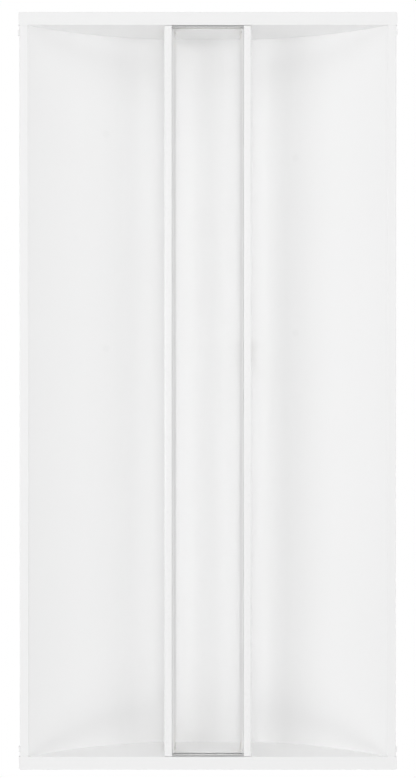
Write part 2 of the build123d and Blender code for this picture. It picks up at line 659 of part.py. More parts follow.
# ------------------------------------------------------------------------- light bar
def rail_trim():
    """The right-hand white trim: visible face, rounded outer edge, wall and top return."""
    points = [
        (TRIM_INNER, BAR_FACE_Z),
        (BAR_HALF, BAR_FACE_Z),
        (BAR_HALF, TRIM_TOP),
        (BAR_HALF - TRIM_RETURN, TRIM_TOP),
        (BAR_HALF - TRIM_RETURN, CHANNEL_TOP),
        (WEB_OUTER, CHANNEL_TOP),
        (WEB_OUTER, LIP_Z),
        (TRIM_INNER, LIP_Z),
    ]
    trim = prism(points, (-BAR_END, BAR_END))
    trim = round_along(trim, BAR_HALF, BAR_FACE_Z, TRIM_ROUND)
    trim = round_along(trim, WEB_OUTER, LIP_Z, TRIM_ROUND - TRIM_SHEET)
    trim = round_along(trim, BAR_HALF, TRIM_TOP, TRIM_SHEET)
    return round_along(trim, TRIM_INNER, BAR_FACE_Z, TRIM_SHEET * 0.5)


def led_channel():
    """The right-hand channel: lower and upper lip, web and top flange round the raceway."""
    points = [
        (TRIM_INNER + LIP_RECESS, LIP_Z),
        (WEB_OUTER, LIP_Z),
        (WEB_OUTER, CHANNEL_TOP),
        (TRIM_INNER - TOP_LIP_REACH, CHANNEL_TOP),
        (TRIM_INNER - TOP_LIP_REACH, RACE_TOP),
        (WEB_INNER, RACE_TOP),
        (WEB_INNER, RACE_Z),
        (TRIM_INNER - UPPER_LIP_REACH, RACE_Z),
        (TRIM_INNER - UPPER_LIP_REACH, UPPER_LIP_Z),
        (WEB_INNER, UPPER_LIP_Z),
        (WEB_INNER, SLOT_Z),
        (TRIM_INNER + LIP_RECESS, SLOT_Z),
    ]
    channel = prism(points, (-BAR_END, BAR_END))
    channel = round_along(channel, WEB_OUTER, LIP_Z, TRIM_ROUND - TRIM_SHEET)
    slot = block((-SLOT_HALF, SLOT_HALF), (WEB_INNER - 6.8, WEB_INNER), (UPPER_LIP_Z - 1, RACE_Z + 1))
    return channel - slot


def top_holes(side):
    """Holes through a trim's return and its channel's top flange, on one side."""
    through = (RACE_TOP - 1, TRIM_TOP + 1)
    holes = [rod_z(x, side * SCREW_Y, through, 1.5) for x in trim_screw_places()]
    if side > 0:
        holes.append(rod_z(GROMMET_X, GROMMET_Y, through, grommet_radius()))
    else:
        holes += [rod_z(x, CATCH_Y, through, STUD_RADIUS) for x in (-CATCH_X, CATCH_X)]
    return holes


def trim_screw_places():
    """x of the screws that join a trim to its channel."""
    outer = TIE_X - BLOCK_LENGTH + 3
    return (-outer, -outer / 3, outer / 3, outer)


def trim_screws():
    """Eight screws down through the trims' returns and the channels."""
    one = screw(2.8, 1.8, 1.5, 5.5)
    places = [(x, y) for x in trim_screw_places() for y in (-SCREW_Y, SCREW_Y)]
    return group(*[Pos(x, y, TRIM_TOP) * one for x, y in places])


def light_guide_panel():
    """The clear panel that stands on the channels' lower lips."""
    top = SLOT_Z + PANEL_THICKNESS
    panel = block((-PANEL_END, PANEL_END), (-PANEL_HALF, PANEL_HALF), (SLOT_Z, top))
    return chamfer(panel.edges().filter_by(Axis.X), 0.3)


def panel_end_seals():
    """The dark foam strip at each end of the panel."""
    half = TRIM_INNER + LIP_RECESS - CLOSE
    strip = block((PANEL_END, BAR_END), (-half, half), (LIP_Z, SLOT_Z + PANEL_THICKNESS))
    return group(strip, foot_of(strip))


def board_spans():
    """x limits of the two boards on one side."""
    near = BOARD_SPLIT / 2
    far = BAR_END - BOARD_END_GAP
    return ((near, far), (-far, -near))


def board_heights():
    """z limits of a board in the panel's slot."""
    return (SLOT_Z + CLOSE, SLOT_Z + CLOSE + PANEL_THICKNESS)


def led_boards():
    """Four aluminium boards on the channels' webs, facing the panel's edges."""
    faces = (BOARD_FACE, BOARD_FACE + BOARD_THICKNESS)
    boards = [block(span, faces, board_heights()) for span in board_spans()]
    return group(*boards, *[left_of(board) for board in boards])


def thermal_tapes():
    """The tape between each board and its channel."""
    faces = (WEB_INNER - TAPE_THICKNESS, WEB_INNER)
    tapes = [block(span, faces, board_heights()) for span in board_spans()]
    return group(*tapes, *[left_of(tape) for tape in tapes])


def led_chips():
    """The rows of LED chips on the boards."""
    length, depth, height = CHIP_SIZE
    middle = SLOT_Z + PANEL_THICKNESS / 2
    chips = []
    for low, high in board_spans():
        for number in range(int((high - low) // CHIP_PITCH)):
            x = low + CHIP_PITCH * (number + 0.5)
            chip = block(
                (x - length / 2, x + length / 2),
                (CHIP_FACE, CHIP_FACE + depth),
                (middle - height / 2, middle + height / 2),
            )
            chips += [chip, left_of(chip)]
    return group(*chips)


def board_bridges():
    """The flat connector that joins the two boards of each side."""
    reach = BOARD_SPLIT / 2 + 7
    faces = (BOARD_FACE - 0.8, BOARD_FACE)
    bridge = block((-reach, reach), faces, (SLOT_Z + 0.8, bridge_top()))
    return group(bridge, left_of(bridge))


def bridge_top():
    """Top of the board bridges, where the leads come down to them."""
    return SLOT_Z + PANEL_THICKNESS + CLOSE


def end_ties():
    """The two plates that tie the bar's channels together at its ends."""
    half = WEB_INNER - LOOSE
    faces = (TIE_X, TIE_X + TIE_SHEET)
    tie = block(faces, (-half, half), (RACE_Z + 0.2, RACE_TOP - 0.2))
    through = (TIE_X - 1, TIE_X + TIE_SHEET + 1)
    notch_half = LEAD_RADIUS + 2 * LOOSE
    notch_top = RACE_LEAD_Z + notch_half
    for y in (-RACE_LEAD_Y, RACE_LEAD_Y):
        tie -= block(through, (y - notch_half, y + notch_half), (RACE_Z - 1, notch_top))
    tie -= rod_x(through, PIVOT_Y, PIVOT_Z, PIVOT_RADIUS)
    tie -= rod_x(through, -PIVOT_Y, PIVOT_Z, 1.6)
    return group(tie, foot_of(tie))


def tie_screws():
    """The screw that holds each tie to its left-hand block."""
    one = Pos(TIE_X + TIE_SHEET, -PIVOT_Y, PIVOT_Z) * Rot(0, 90, 0) * screw(3.0, 1.6, 1.6, 10.0)
    return group(one, foot_of(one))


def pivot_blocks():
    """Four nylon blocks in the channels' ends, for the pins, ties and studs."""
    span = (TIE_X - BLOCK_LENGTH, TIE_X)
    heights = (RACE_Z + CLOSE, RACE_TOP - CLOSE)
    blank = block(span, (BLOCK_INNER, WEB_INNER - CLOSE), heights)
    screw_hole = rod_z(trim_screw_places()[-1], SCREW_Y, (TRIM_TOP - 6, RACE_TOP + 1), 1.5)
    right = blank - rod_x((span[0] - 1, span[1] + 1), PIVOT_Y, PIVOT_Z, PIVOT_RADIUS) - screw_hole
    left = left_of(blank - screw_hole)
    left -= rod_x((TIE_X - 9.5, TIE_X + 1), -PIVOT_Y, PIVOT_Z, 1.6)
    left -= rod_z(CATCH_X, CATCH_Y, (TRIM_TOP - 6, RACE_TOP + 1), STUD_RADIUS)
    return group(right, left, foot_of(right), foot_of(left))


def grommet_radius():
    """Radius of the grommet's hole in the bar's top."""
    return BAR_LEAD_RADIUS + 1.0


def rail_grommet():
    """The rubber grommet where the lead enters the bar."""
    body = rod_z(GROMMET_X, GROMMET_Y, (RACE_TOP - 1.0, TRIM_TOP + 1.2), grommet_radius())
    body += rod_z(GROMMET_X, GROMMET_Y, (TRIM_TOP, TRIM_TOP + 1.2), grommet_radius() + 1.3)
    body += rod_z(GROMMET_X, GROMMET_Y, (RACE_TOP - 1.0, RACE_TOP), grommet_radius() + 1.0)
    bore = rod_z(GROMMET_X, GROMMET_Y, (RACE_TOP - 2, TRIM_TOP + 2), BAR_LEAD_RADIUS + 0.05)
    return body - bore


# ----------------------------------------------------------------- the bar's wiring
def bar_socket():
    """The snap-in socket in the crown, which the driver's cable ends in."""
    ends = (SOCKET_X - SOCKET_LENGTH / 2, SOCKET_X + SOCKET_LENGTH / 2)
    neck = (ends[0] + 2, ends[1] - 2)
    sides = (SOCKET_Y - 5, SOCKET_Y + 4.5)
    body = block(ends, (sides[0], sides[1] + 1), (CROWN_BACK, CROWN_BACK + SOCKET_HEIGHT))
    body = fillet(body.edges().filter_by(Axis.Z), 1.0)
    body += block(neck, (SOCKET_Y - 4, SOCKET_Y + 4), (CROWN_Z - 1, CROWN_BACK + 1))
    return body + block(ends, sides, (CROWN_Z - 1.2, CROWN_Z))


def bar_plug():
    """The right-angled plug of the bar's lead, under the crown."""
    top = CROWN_Z - 1.2
    ends = (SOCKET_X - 6, SOCKET_X + 6)
    plug = block(ends, (SOCKET_Y - 4, SOCKET_Y + 4), (top - PLUG_HEIGHT, top))
    plug = fillet(plug.edges().filter_by(Axis.Y).group_by(Axis.Z)[0], 2.0)
    return plug + block((ends[1], ends[1] + 1.2), (SOCKET_Y - 2, SOCKET_Y + 2), (top - 7, top - 1))


def bar_lead():
    """The slack lead from the plug to the grommet, close to the pivot line."""
    start_z = CROWN_Z - 1.2 - PLUG_HEIGHT * 0.6
    points = [
        (SOCKET_X - 6, SOCKET_Y, start_z),
        (SOCKET_X - 31, SOCKET_Y, start_z),
        (GROMMET_X, GROMMET_Y, start_z - 16),
        (GROMMET_X, GROMMET_Y, CHANNEL_TOP + 0.6),
    ]
    return tube(points, bend_radii(points), BAR_LEAD_RADIUS)


def rail_lead():
    """The lead inside the right-hand channel, from the grommet to the board bridge."""
    points = [
        (GROMMET_X, GROMMET_Y, CHANNEL_TOP + 0.5),
        (GROMMET_X, GROMMET_Y, RACE_Z + 7.1),
        (3.0, BRIDGE_Y, RACE_Z + 4.1),
        (3.0, BRIDGE_Y, bridge_top()),
    ]
    return tube(points, bend_radii(points), LEAD_RADIUS)


def cross_lead():
    """The lead from the right-hand bridge along the bar and behind its end tie to the left."""
    end_x = WALL_X - 1.9
    half = [
        (-6.0, BRIDGE_Y, bridge_top()),
        (-6.0, BRIDGE_Y, RACE_LEAD_Z + 2.6),
        (6.0, RACE_LEAD_Y + 2.5, RACE_LEAD_Z + 1.4),
        (30.0, RACE_LEAD_Y, RACE_LEAD_Z),
        (end_x, RACE_LEAD_Y, RACE_LEAD_Z),
    ]
    points = half + [(x, -across, z) for x, across, z in reversed(half)]
    radii = bend_radii(points)
    radii[3] = radii[4] = 2.9
    return tube(points, radii, LEAD_RADIUS)


# ------------------------------------------------------------------------ driver box
def driver_box():
    """The box on the arch's back: four walls, feet, arms, cover flange and knuckles."""
    shell = saddle((BOX_START, BOX_END), BOX_INNER, BOX_OUTER)
    inside = block(
        (BOX_START + BOX_SHEET, BOX_END - BOX_SHEET),
        (BOX_INNER + BOX_SHEET, BOX_OUTER - BOX_SHEET),
        (-1, BOX_TOP + 1),
    )
    box = shell - inside
    for x in BOX_FOOT_X:
        box += box_foot(x)
    for x in BOX_ARM_X:
        box += box_arm(x)
    flange_y = (BOX_OUTER - BOX_SHEET - BOX_FLANGE, BOX_OUTER)
    box += block((BOX_START, BOX_END), flange_y, (BOX_TOP - BOX_SHEET, BOX_TOP))
    for x in HINGE_X:
        box += box_knuckle(x)
    return box - box_holes()


def saddle(span, inner, outer):
    """A solid that sits on the arch's back between two y limits, up to the box's top."""
    lower = arch_path(inner, outer, BOX_SEAT, span[0])
    upper = level_path(inner, outer, BOX_TOP, span[0])
    return between(lower, upper, span[1] - span[0])


def box_foot(x):
    """A foot inside the inner wall, lying on the arch and clinched to it."""
    start = x - BOX_FOOT_LENGTH / 2
    lower = arch_path(BOX_INNER, BOX_INNER + BOX_FOOT_WIDTH, BOX_SEAT, start)
    upper = arch_path(BOX_INNER, BOX_INNER + BOX_FOOT_WIDTH, BOX_SEAT + BOX_SHEET, start)
    return between(lower, upper, BOX_FOOT_LENGTH)


def box_arm(x):
    """An arm from the outer wall to the side rail's top flange."""
    limits = (x - BOX_ARM_WIDTH / 2, x + BOX_ARM_WIDTH / 2)
    arm = block(limits, (BOX_OUTER - BOX_SHEET, HALF_BODY - 3), (RAIL_TOP, RAIL_TOP + BOX_SHEET))
    return fillet(arm.edges().filter_by(Axis.Z).group_by(Axis.Y)[-1], 3.0)


def box_knuckle(x):
    """The middle knuckle of a hinge, with its leaf on the box's inner wall."""
    limits = (x - KNUCKLE_LENGTH / 2, x + KNUCKLE_LENGTH / 2)
    knuckle = rod_x(limits, HINGE_Y, HINGE_Z, KNUCKLE_RADIUS)
    leaf = block(limits, (HINGE_Y, BOX_INNER), (HINGE_Z - KNUCKLE_RADIUS, HINGE_Z - 0.9))
    bore = rod_x((limits[0] - 1, limits[1] + 1), HINGE_Y, HINGE_Z, HINGE_PIN_RADIUS)
    return knuckle + leaf - bore


def knockout_places():
    """(x, y, z) of the knock-outs: the first is open, the others hold their discs."""
    high = DRIVER_Z + 15
    return (
        (BOX_END, BOX_OUTER - 44, high),
        (BOX_END, BOX_OUTER - 92, high + 5),
        (BOX_START, BOX_OUTER - 44, high),
    )


def box_holes():
    """Knock-outs and screw, bushing and pin holes of the driver box."""
    holes = [rod_x((x - 2, x + 2), y, z, KNOCKOUT_RADIUS) for x, y, z in knockout_places()]
    wall = (BOX_OUTER - BOX_SHEET - 1, BOX_OUTER + 1)
    holes += [rod_y(x, wall, driver_middle(), 1.6) for x in driver_screw_places()]
    holes.append(rod_y(terminal_middle(), wall, TERMINAL_Z - 4, 1.6))
    holes.append(rod_y(GROUND_X, wall, GROUND_Z, 2.0))
    arm = (RAIL_TOP - 1, RAIL_TOP + BOX_SHEET + 1)
    holes += [rod_z(x, RAIL_MID, arm, 1.7) for x in BOX_ARM_X]
    flange = (BOX_TOP - BOX_SHEET - 1, BOX_TOP + 1)
    holes.append(rod_z(COVER_SCREW_X, COVER_SCREW_Y, flange, 2.05))
    holes.append(rod_y(SOCKET_X, (BOX_INNER - 1, BOX_INNER + BOX_SHEET + 1), CABLE_Z, 4.5))
    return holes


def knockout_discs():
    """The discs still in two of the knock-outs."""
    discs = []
    for x, y, z in knockout_places()[1:]:
        outside = x if x == BOX_START else x - BOX_SHEET
        discs.append(rod_x((outside, outside + BOX_SHEET), y, z, KNOCKOUT_RADIUS - CLOSE))
    return group(*discs)


def box_arm_screws():
    """The screws that hold the box's arms to the side rail."""
    one = screw(3.2, 2.0, 1.6, 8.0)
    return group(*[Pos(x, RAIL_MID, RAIL_TOP + BOX_SHEET) * one for x in BOX_ARM_X])


def driver_middle():
    """Height of the driver's centre line."""
    return DRIVER_Z + DRIVER_SIZE[2] / 2


def driver_screw_places():
    """x of the screws in the driver's end tabs."""
    return (DRIVER_START - DRIVER_TAB / 2, DRIVER_END + DRIVER_TAB / 2)


def led_driver():
    """The LED driver: a long metal case with a lid and an end tab on each side."""
    _, depth, height = DRIVER_SIZE
    top = DRIVER_Z + height
    case = block((DRIVER_START, DRIVER_END), (DRIVER_BACK - depth, DRIVER_BACK), (DRIVER_Z, top))
    case = fillet(case.edges().filter_by(Axis.X).group_by(Axis.Y)[0], 1.5)
    tab_x = (DRIVER_START - DRIVER_TAB, DRIVER_END + DRIVER_TAB)
    case += block(tab_x, (DRIVER_BACK - 1.2, DRIVER_BACK), (DRIVER_Z + 6, top - 6))
    lid_seam = block(
        (DRIVER_START - 1, DRIVER_END + 1),
        (DRIVER_BACK - 9, DRIVER_BACK - 8.4),
        (top - 0.4, top + 1),
    )
    holes = [
        rod_y(x, (DRIVER_BACK - 2, DRIVER_BACK + 1), driver_middle(), 1.6)
        for x in driver_screw_places()
    ]
    return case - [lid_seam, *holes]


def driver_screws():
    """The two screws through the driver's end tabs."""
    one = Rot(90, 0, 0) * screw(3.2, 2.0, 1.6, 6.0)
    face = DRIVER_BACK - 1.2
    return group(*[Pos(x, face, driver_middle()) * one for x in driver_screw_places()])


def terminal_middle():
    """x of the terminal block's centre."""
    return TERMINAL_X + TERMINAL_SIZE[0] / 2


def pole_heights():
    """Heights of the terminal block's four poles."""
    middle = TERMINAL_Z + TERMINAL_SIZE[2] / 2
    return [middle + POLE_PITCH * (number - 1.5) for number in range(4)]


def terminal_block():
    """The supply terminal block, with four poles and a foot for its screw."""
    length, depth, height = TERMINAL_SIZE
    span = (TERMINAL_X, TERMINAL_X + length)
    body = block(span, (DRIVER_BACK - depth, DRIVER_BACK), (TERMINAL_Z, TERMINAL_Z + height))
    body = fillet(body.edges().filter_by(Axis.X).group_by(Axis.Y)[0], 1.0)
    foot_x = (terminal_middle() - 5, terminal_middle() + 5)
    body += block(foot_x, (DRIVER_BACK - 2.4, DRIVER_BACK), (TERMINAL_Z - 8, TERMINAL_Z))
    mouths = [
        rod_x((span[1] - 6, span[1] + 1), DRIVER_BACK - 9, z, 1.8) for z in pole_heights()
    ]
    screws = [
        rod_y(terminal_middle(), (DRIVER_BACK - depth - 1, DRIVER_BACK - depth + 4), z, 1.9)
        for z in pole_heights()
    ]
    foot_hole = rod_y(terminal_middle(), (DRIVER_BACK - 4, DRIVER_BACK + 1), TERMINAL_Z - 4, 1.6)
    return body - [*mouths, *screws, foot_hole]


def terminal_screws():
    """The block's mounting screw and its four clamping screws."""
    mount = Pos(terminal_middle(), DRIVER_BACK - 2.4, TERMINAL_Z - 4) * Rot(90, 0, 0)
    screws = [mount * screw(2.8, 1.6, 1.6, 6.0)]
    depth = DRIVER_BACK - TERMINAL_SIZE[1]
    for z in pole_heights():
        clamp = rod_y(terminal_middle(), (depth + 0.8, depth + 4), z, 1.85)
        clamp -= block(
            (terminal_middle() - 2, terminal_middle() + 2), (depth, depth + 1.5), (z - 0.25, z + 0.25)
        )
        screws.append(clamp)
    return group(*screws)


def ground_screw():
    """The earth screw on the box's outer wall."""
    return Pos(GROUND_X, DRIVER_BACK, GROUND_Z) * Rot(90, 0, 0) * screw(4.0, 3.0, 2.0, 5.0)


def supply_lead(number):
    """One lead from the driver's supply end to a pole of the terminal block."""
    start_z = DRIVER_Z + 7.0 + 5.0 * number
    end_z = pole_heights()[number]
    gap = TERMINAL_X - DRIVER_END
    points = [
        (DRIVER_END, DRIVER_BACK - 14, start_z),
        (DRIVER_END + gap * 0.3, DRIVER_BACK - 14, start_z),
        (DRIVER_END + gap * 0.7, DRIVER_BACK - 9, end_z),
        (TERMINAL_X, DRIVER_BACK - 9, end_z),
    ]
    return tube(points, bend_radii(points), LEAD_RADIUS)


def ground_lead():
    """The lead from the driver to the earth screw."""
    points = [
        (DRIVER_END, DRIVER_BACK - 19, DRIVER_Z + 3),
        (DRIVER_END + 8, DRIVER_BACK - 19, DRIVER_Z + 3),
        (GROUND_X - 15, DRIVER_BACK - 1.6, GROUND_Z),
        (GROUND_X - 4, DRIVER_BACK - 1.6, GROUND_Z),
    ]
    return tube(points, bend_radii(points), LEAD_RADIUS)


def led_cable():
    """The cable from the driver's LED end through the box's wall to the crown socket."""
    y = DRIVER_BACK - 13
    points = [
        (DRIVER_START, y, driver_middle()),
        (DRIVER_START - 22, y, driver_middle()),
        (SOCKET_X, y - 18, driver_middle() + 8),
        (SOCKET_X, y - 53, CABLE_Z),
        (SOCKET_X, SOCKET_Y + 5.5, CABLE_Z),
    ]
    return tube(points, bend_radii(points), CABLE_RADIUS)


def cable_bushing():
    """The nylon bushing where the LED cable leaves the box."""
    wall = (BOX_INNER, BOX_INNER + BOX_SHEET)
    bushing = rod_y(SOCKET_X, (wall[0] - 1.2, wall[1] + 1.2), CABLE_Z, 4.5)
    bushing += rod_y(SOCKET_X, (wall[0] - 1.2, wall[0]), CABLE_Z, 6.0)
    bushing += rod_y(SOCKET_X, (wall[1], wall[1] + 1.2), CABLE_Z, 6.0)
    return bushing - rod_y(SOCKET_X, (wall[0] - 2, wall[1] + 2), CABLE_Z, CABLE_RADIUS + 0.05)


# ------------------------------------------------------------------------- box cover
def driver_box_cover():
    """The hinged cover: plate, three lips, knuckles and the hole of its screw."""
    ends = (BOX_START - COVER_OVERHANG, BOX_END + COVER_OVERHANG)
    outer = BOX_OUTER + COVER_OVERHANG
    top = BOX_TOP + BOX_SHEET
    cover = block(ends, (HINGE_Y - KNUCKLE_RADIUS, outer), (BOX_TOP, top))
    low = BOX_TOP - COVER_LIP
    cover += block(ends, (outer - BOX_SHEET, outer), (low, top))
    for x in (ends[0], ends[1] - BOX_SHEET):
        cover += block((x, x + BOX_SHEET), (BOX_INNER + 2, outer), (low, top))
    cover = round_along(cover, outer, top, BOX_SHEET)
    gap = (KNUCKLE_LENGTH / 2 + CLOSE * 2, KNUCKLE_LENGTH * 1.5)
    for x in HINGE_X:
        for side in (-1, 1):
            limits = (x + side * gap[0], x + side * gap[1])
            cover += rod_x(limits, HINGE_Y, HINGE_Z, KNUCKLE_RADIUS)
            leaf_y = (HINGE_Y - KNUCKLE_RADIUS, HINGE_Y - 0.9)
            cover += block(limits, leaf_y, (HINGE_Z, top))
        reach = KNUCKLE_LENGTH * 1.5 + 1
        pin_bore = HINGE_PIN_RADIUS + RUNNING
        cover -= rod_x((x - reach, x + reach), HINGE_Y, HINGE_Z, pin_bore)
    return cover - rod_z(COVER_SCREW_X, COVER_SCREW_Y, (BOX_TOP - 1, top + 1), 2.3)


def cover_hinge_pins():
    """The pins pressed into the box's knuckles, which the cover turns on."""
    reach = KNUCKLE_LENGTH * 1.5
    return group(*[rod_x((x - reach, x + reach), HINGE_Y, HINGE_Z, HINGE_PIN_RADIUS) for x in HINGE_X])


def cover_screw():
    """The captive screw of the cover."""
    return Pos(COVER_SCREW_X, COVER_SCREW_Y, BOX_TOP + BOX_SHEET) * screw(4.5, 2.8, 1.9, 6.0)


# ------------------------------------------------------------------------- the pieces
def pieces():
    """Every piece of the light by name."""
    right_rail = side_rail(arms=BOX_ARM_X)
    head_plate = end_plate()
    trim = rail_trim()
    channel = led_channel()
    parts = {
        "vault_reflector": vault_reflector(),
        "side_rail_right": right_rail,
        "side_rail_left": left_of(side_rail()),
        "end_plate_head": head_plate,
        "end_plate_foot": foot_of(head_plate),
        "corner_screws": corner_screws(),
        "crown_screws": crown_screws(),
        "back_stiffener": back_stiffener(),
        "clip_rivets": clip_rivets(),
        "pivot_bushes": pivot_bushes(),
        "catch_brackets": catch_brackets(),
        "catch_sockets": catch_sockets(),
        "catch_rivets": catch_rivets(),
        "driver_box": driver_box(),
        "knockout_discs": knockout_discs(),
        "box_arm_screws": box_arm_screws(),
        "led_driver": led_driver(),
        "driver_screws": driver_screws(),
        "terminal_block": terminal_block(),
        "terminal_screws": terminal_screws(),
        "ground_screw": ground_screw(),
        "line_lead": supply_lead(0),
        "neutral_lead": supply_lead(1),
        "dimming_leads": group(supply_lead(2), supply_lead(3)),
        "ground_lead": ground_lead(),
        "led_cable": led_cable(),
        "cable_bushing": cable_bushing(),
        "bar_socket": bar_socket(),
        "bar_plug": bar_plug(),
        "cover_hinge_pins": cover_hinge_pins(),
        "driver_box_cover": driver_box_cover(),
        "cover_screw": cover_screw(),
        "rail_trim_right": trim - top_holes(1),
        "rail_trim_left": left_of(trim) - top_holes(-1),
        "led_channel_right": channel - top_holes(1),
        "led_channel_left": left_of(channel) - top_holes(-1),
        "light_guide_panel": light_guide_panel(),
        "panel_end_seals": panel_end_seals(),
        "led_boards": led_boards(),
        "led_chips": led_chips(),
        "thermal_tapes": thermal_tapes(),
        "board_bridges": board_bridges(),
        "end_ties": end_ties(),
        "tie_screws": tie_screws(),
        "trim_screws": trim_screws(),
        "pivot_blocks": pivot_blocks(),
        "pivot_pins": pivot_pins(),
        "ball_studs": ball_studs(),
        "rail_grommet": rail_grommet(),
        "bar_lead": bar_lead(),
        "rail_lead": rail_lead(),
        "cross_lead": cross_lead(),
    }
    corners = [(1, 1), (1, -1), (-1, 1), (-1, -1)]
    for number, (along, across) in enumerate(corners, start=1):
        parts[f"grid_clip_{number}"] = grid_clip(along, across)
    return parts


os.makedirs("parts", exist_ok=True)
for name, part in pieces().items():
    export_step(part, f"parts/{name}.step")
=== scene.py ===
"""Looks of a recessed troffer light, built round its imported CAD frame.

The light lies face down at z = 0, as it hangs in its ceiling, so the camera looks up at it
from below. +X is the head end, +Y the side of the driver box and of the bar's hinge.
"""

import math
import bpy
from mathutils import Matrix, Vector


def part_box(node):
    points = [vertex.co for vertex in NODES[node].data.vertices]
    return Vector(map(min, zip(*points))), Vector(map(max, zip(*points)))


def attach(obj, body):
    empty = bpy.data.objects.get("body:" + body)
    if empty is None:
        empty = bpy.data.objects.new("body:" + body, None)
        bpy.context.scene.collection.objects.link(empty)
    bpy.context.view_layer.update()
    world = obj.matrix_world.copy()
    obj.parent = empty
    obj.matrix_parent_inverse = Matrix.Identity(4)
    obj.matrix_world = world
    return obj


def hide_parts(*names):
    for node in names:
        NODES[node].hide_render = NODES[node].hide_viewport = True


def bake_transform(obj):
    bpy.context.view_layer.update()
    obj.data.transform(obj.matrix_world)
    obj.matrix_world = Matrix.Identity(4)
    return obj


bl_info = {
    "name": "Recessed Troffer Light",
    "version": (1, 0, 0),
    "blender": (4, 5, 0),
    "location": "View3D > Sidebar > Troffer",
    "description": "Gives the troffer light its finishes, seals, bending lead and stage",
    "category": "Object",
}

import bpy
import numpy as np
from bpy.props import FloatProperty, FloatVectorProperty, PointerProperty
from mathutils import Matrix, Vector

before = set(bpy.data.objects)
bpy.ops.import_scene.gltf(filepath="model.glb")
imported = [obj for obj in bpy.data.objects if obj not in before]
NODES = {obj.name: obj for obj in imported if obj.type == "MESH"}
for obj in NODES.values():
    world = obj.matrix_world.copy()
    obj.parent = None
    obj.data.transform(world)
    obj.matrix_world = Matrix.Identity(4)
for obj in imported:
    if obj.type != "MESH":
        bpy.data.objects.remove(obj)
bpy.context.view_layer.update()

MM = 0.001
WHITE = (1.0, 1.0, 1.0, 1.0)

# A Mix node's numbers for its two colours and for what comes out.
COLOUR_A = 6
COLOUR_B = 7
MIXED = 2

# ------------------------------------------------------------- which node has which finish
REFLECTOR_NODES = ("vault_reflector",)
PAINTED_NODES = (
    "side_rail_right",
    "side_rail_left",
    "end_plate_head",
    "end_plate_foot",
    "end_ties",
    "catch_brackets",
)
TRIM_NODES = ("rail_trim_right", "rail_trim_left")
CHANNEL_NODES = ("led_channel_right", "led_channel_left")
GALVANISED_NODES = (
    "driver_box",
    "driver_box_cover",
    "back_stiffener",
    "knockout_discs",
    "grid_clip_1",
    "grid_clip_2",
    "grid_clip_3",
    "grid_clip_4",
)
ZINC_NODES = (
    "corner_screws",
    "crown_screws",
    "clip_rivets",
    "catch_rivets",
    "box_arm_screws",
    "driver_screws",
    "terminal_screws",
    "cover_hinge_pins",
    "cover_screw",
    "tie_screws",
    "trim_screws",
    "pivot_pins",
    "ball_studs",
)
NYLON_NODES = ("pivot_bushes", "catch_sockets", "pivot_blocks")
CONNECTOR_NODES = ("bar_socket", "bar_plug", "board_bridges")
WHITE_LEAD_NODES = ("neutral_lead", "rail_lead", "cross_lead", "led_cable")

# --------------------------------------------------------------- places and sizes, in mm
# The bar's lead from its plug to its grommet: the same route as in the CAD.
BAR_LEAD_ROUTE = (
    (69.0, 65.5, 57.16),
    (44.0, 65.5, 57.16),
    (20.0, 63.0, 41.16),
    (20.0, 63.0, 25.4),
)
LEAD_SIDES = 20
LEAD_STEPS = 16  # spline points between two points of the route

# The foam strips at the panel's ends. Their white adhesive film wets the panel's edge, so it is
# seen through the panel, and their outer edge is cut a little unevenly.
SEAL_OUTER = 585.0  # from the light's middle
SEAL_WETTED = 0.05  # by which the film overlaps the panel's edge
SEAL_FILM = 0.25  # thickness of the film outside the panel
SEAL_WAVE = 0.05  # how far the cut wanders
SEAL_WAVE_LENGTH = 43.0
SEAL_STEPS = 49  # rings along a strip
SEAL_CORNER_POINTS = 5  # points round each of a ring's four corners

# Middles of the round clinch marks in the reflector's face.
CLINCH_PLACES = ((97.0, 145.0), (386.0, 145.0), (71.0, -168.0), (424.0, -168.0))
CLINCH_RADIUS = 5.5
CLINCH_EDGE = 0.6  # half the width of the mark's soft edge
CLINCH_SHADE_TONE = 0.975  # share of the paint's light left under a mark's painted shade

POLE_PITCH = 6.0  # between two poles of the terminal block
POLE_JOINT = 0.06  # share of the pitch that the joint takes
TRACK_PITCH = 1.7  # between two copper tracks of an LED board
TRACK_GAP = 0.3  # distance from a gap's middle at which the track starts, in pitches
CHIP_MIDDLE = 5.9  # height of the LED chips' middle line
CHIP_WINDOW = 1.0  # half height of their phosphor window

# ------------------------------------------------------ the finishes' patterns, in mm too
COAT_DRIFT = 160.0  # length over which the powder coat's thickness drifts
COAT_THIN = 0.99  # share of its light that it gives back where it is thinnest
COAT_SHEEN = 0.04  # by which its roughness varies
COAT_IOR = 1.5
DIE_LINE_PITCH = 0.5
DIE_LINE_LENGTH = 60.0
DIE_LINE_TONE = 0.93  # share of the metal's light that a line's bottom gives back
SPANGLE = 8.0  # width of a zinc crystal
FROST = 1.6  # its fine mottling
PANEL_HAZE = 30.0  # width of the clear panel's faint clouds
FOAM_CELL = 0.5
MOULDED_SHEEN = 0.05  # by which a moulded plastic's roughness varies

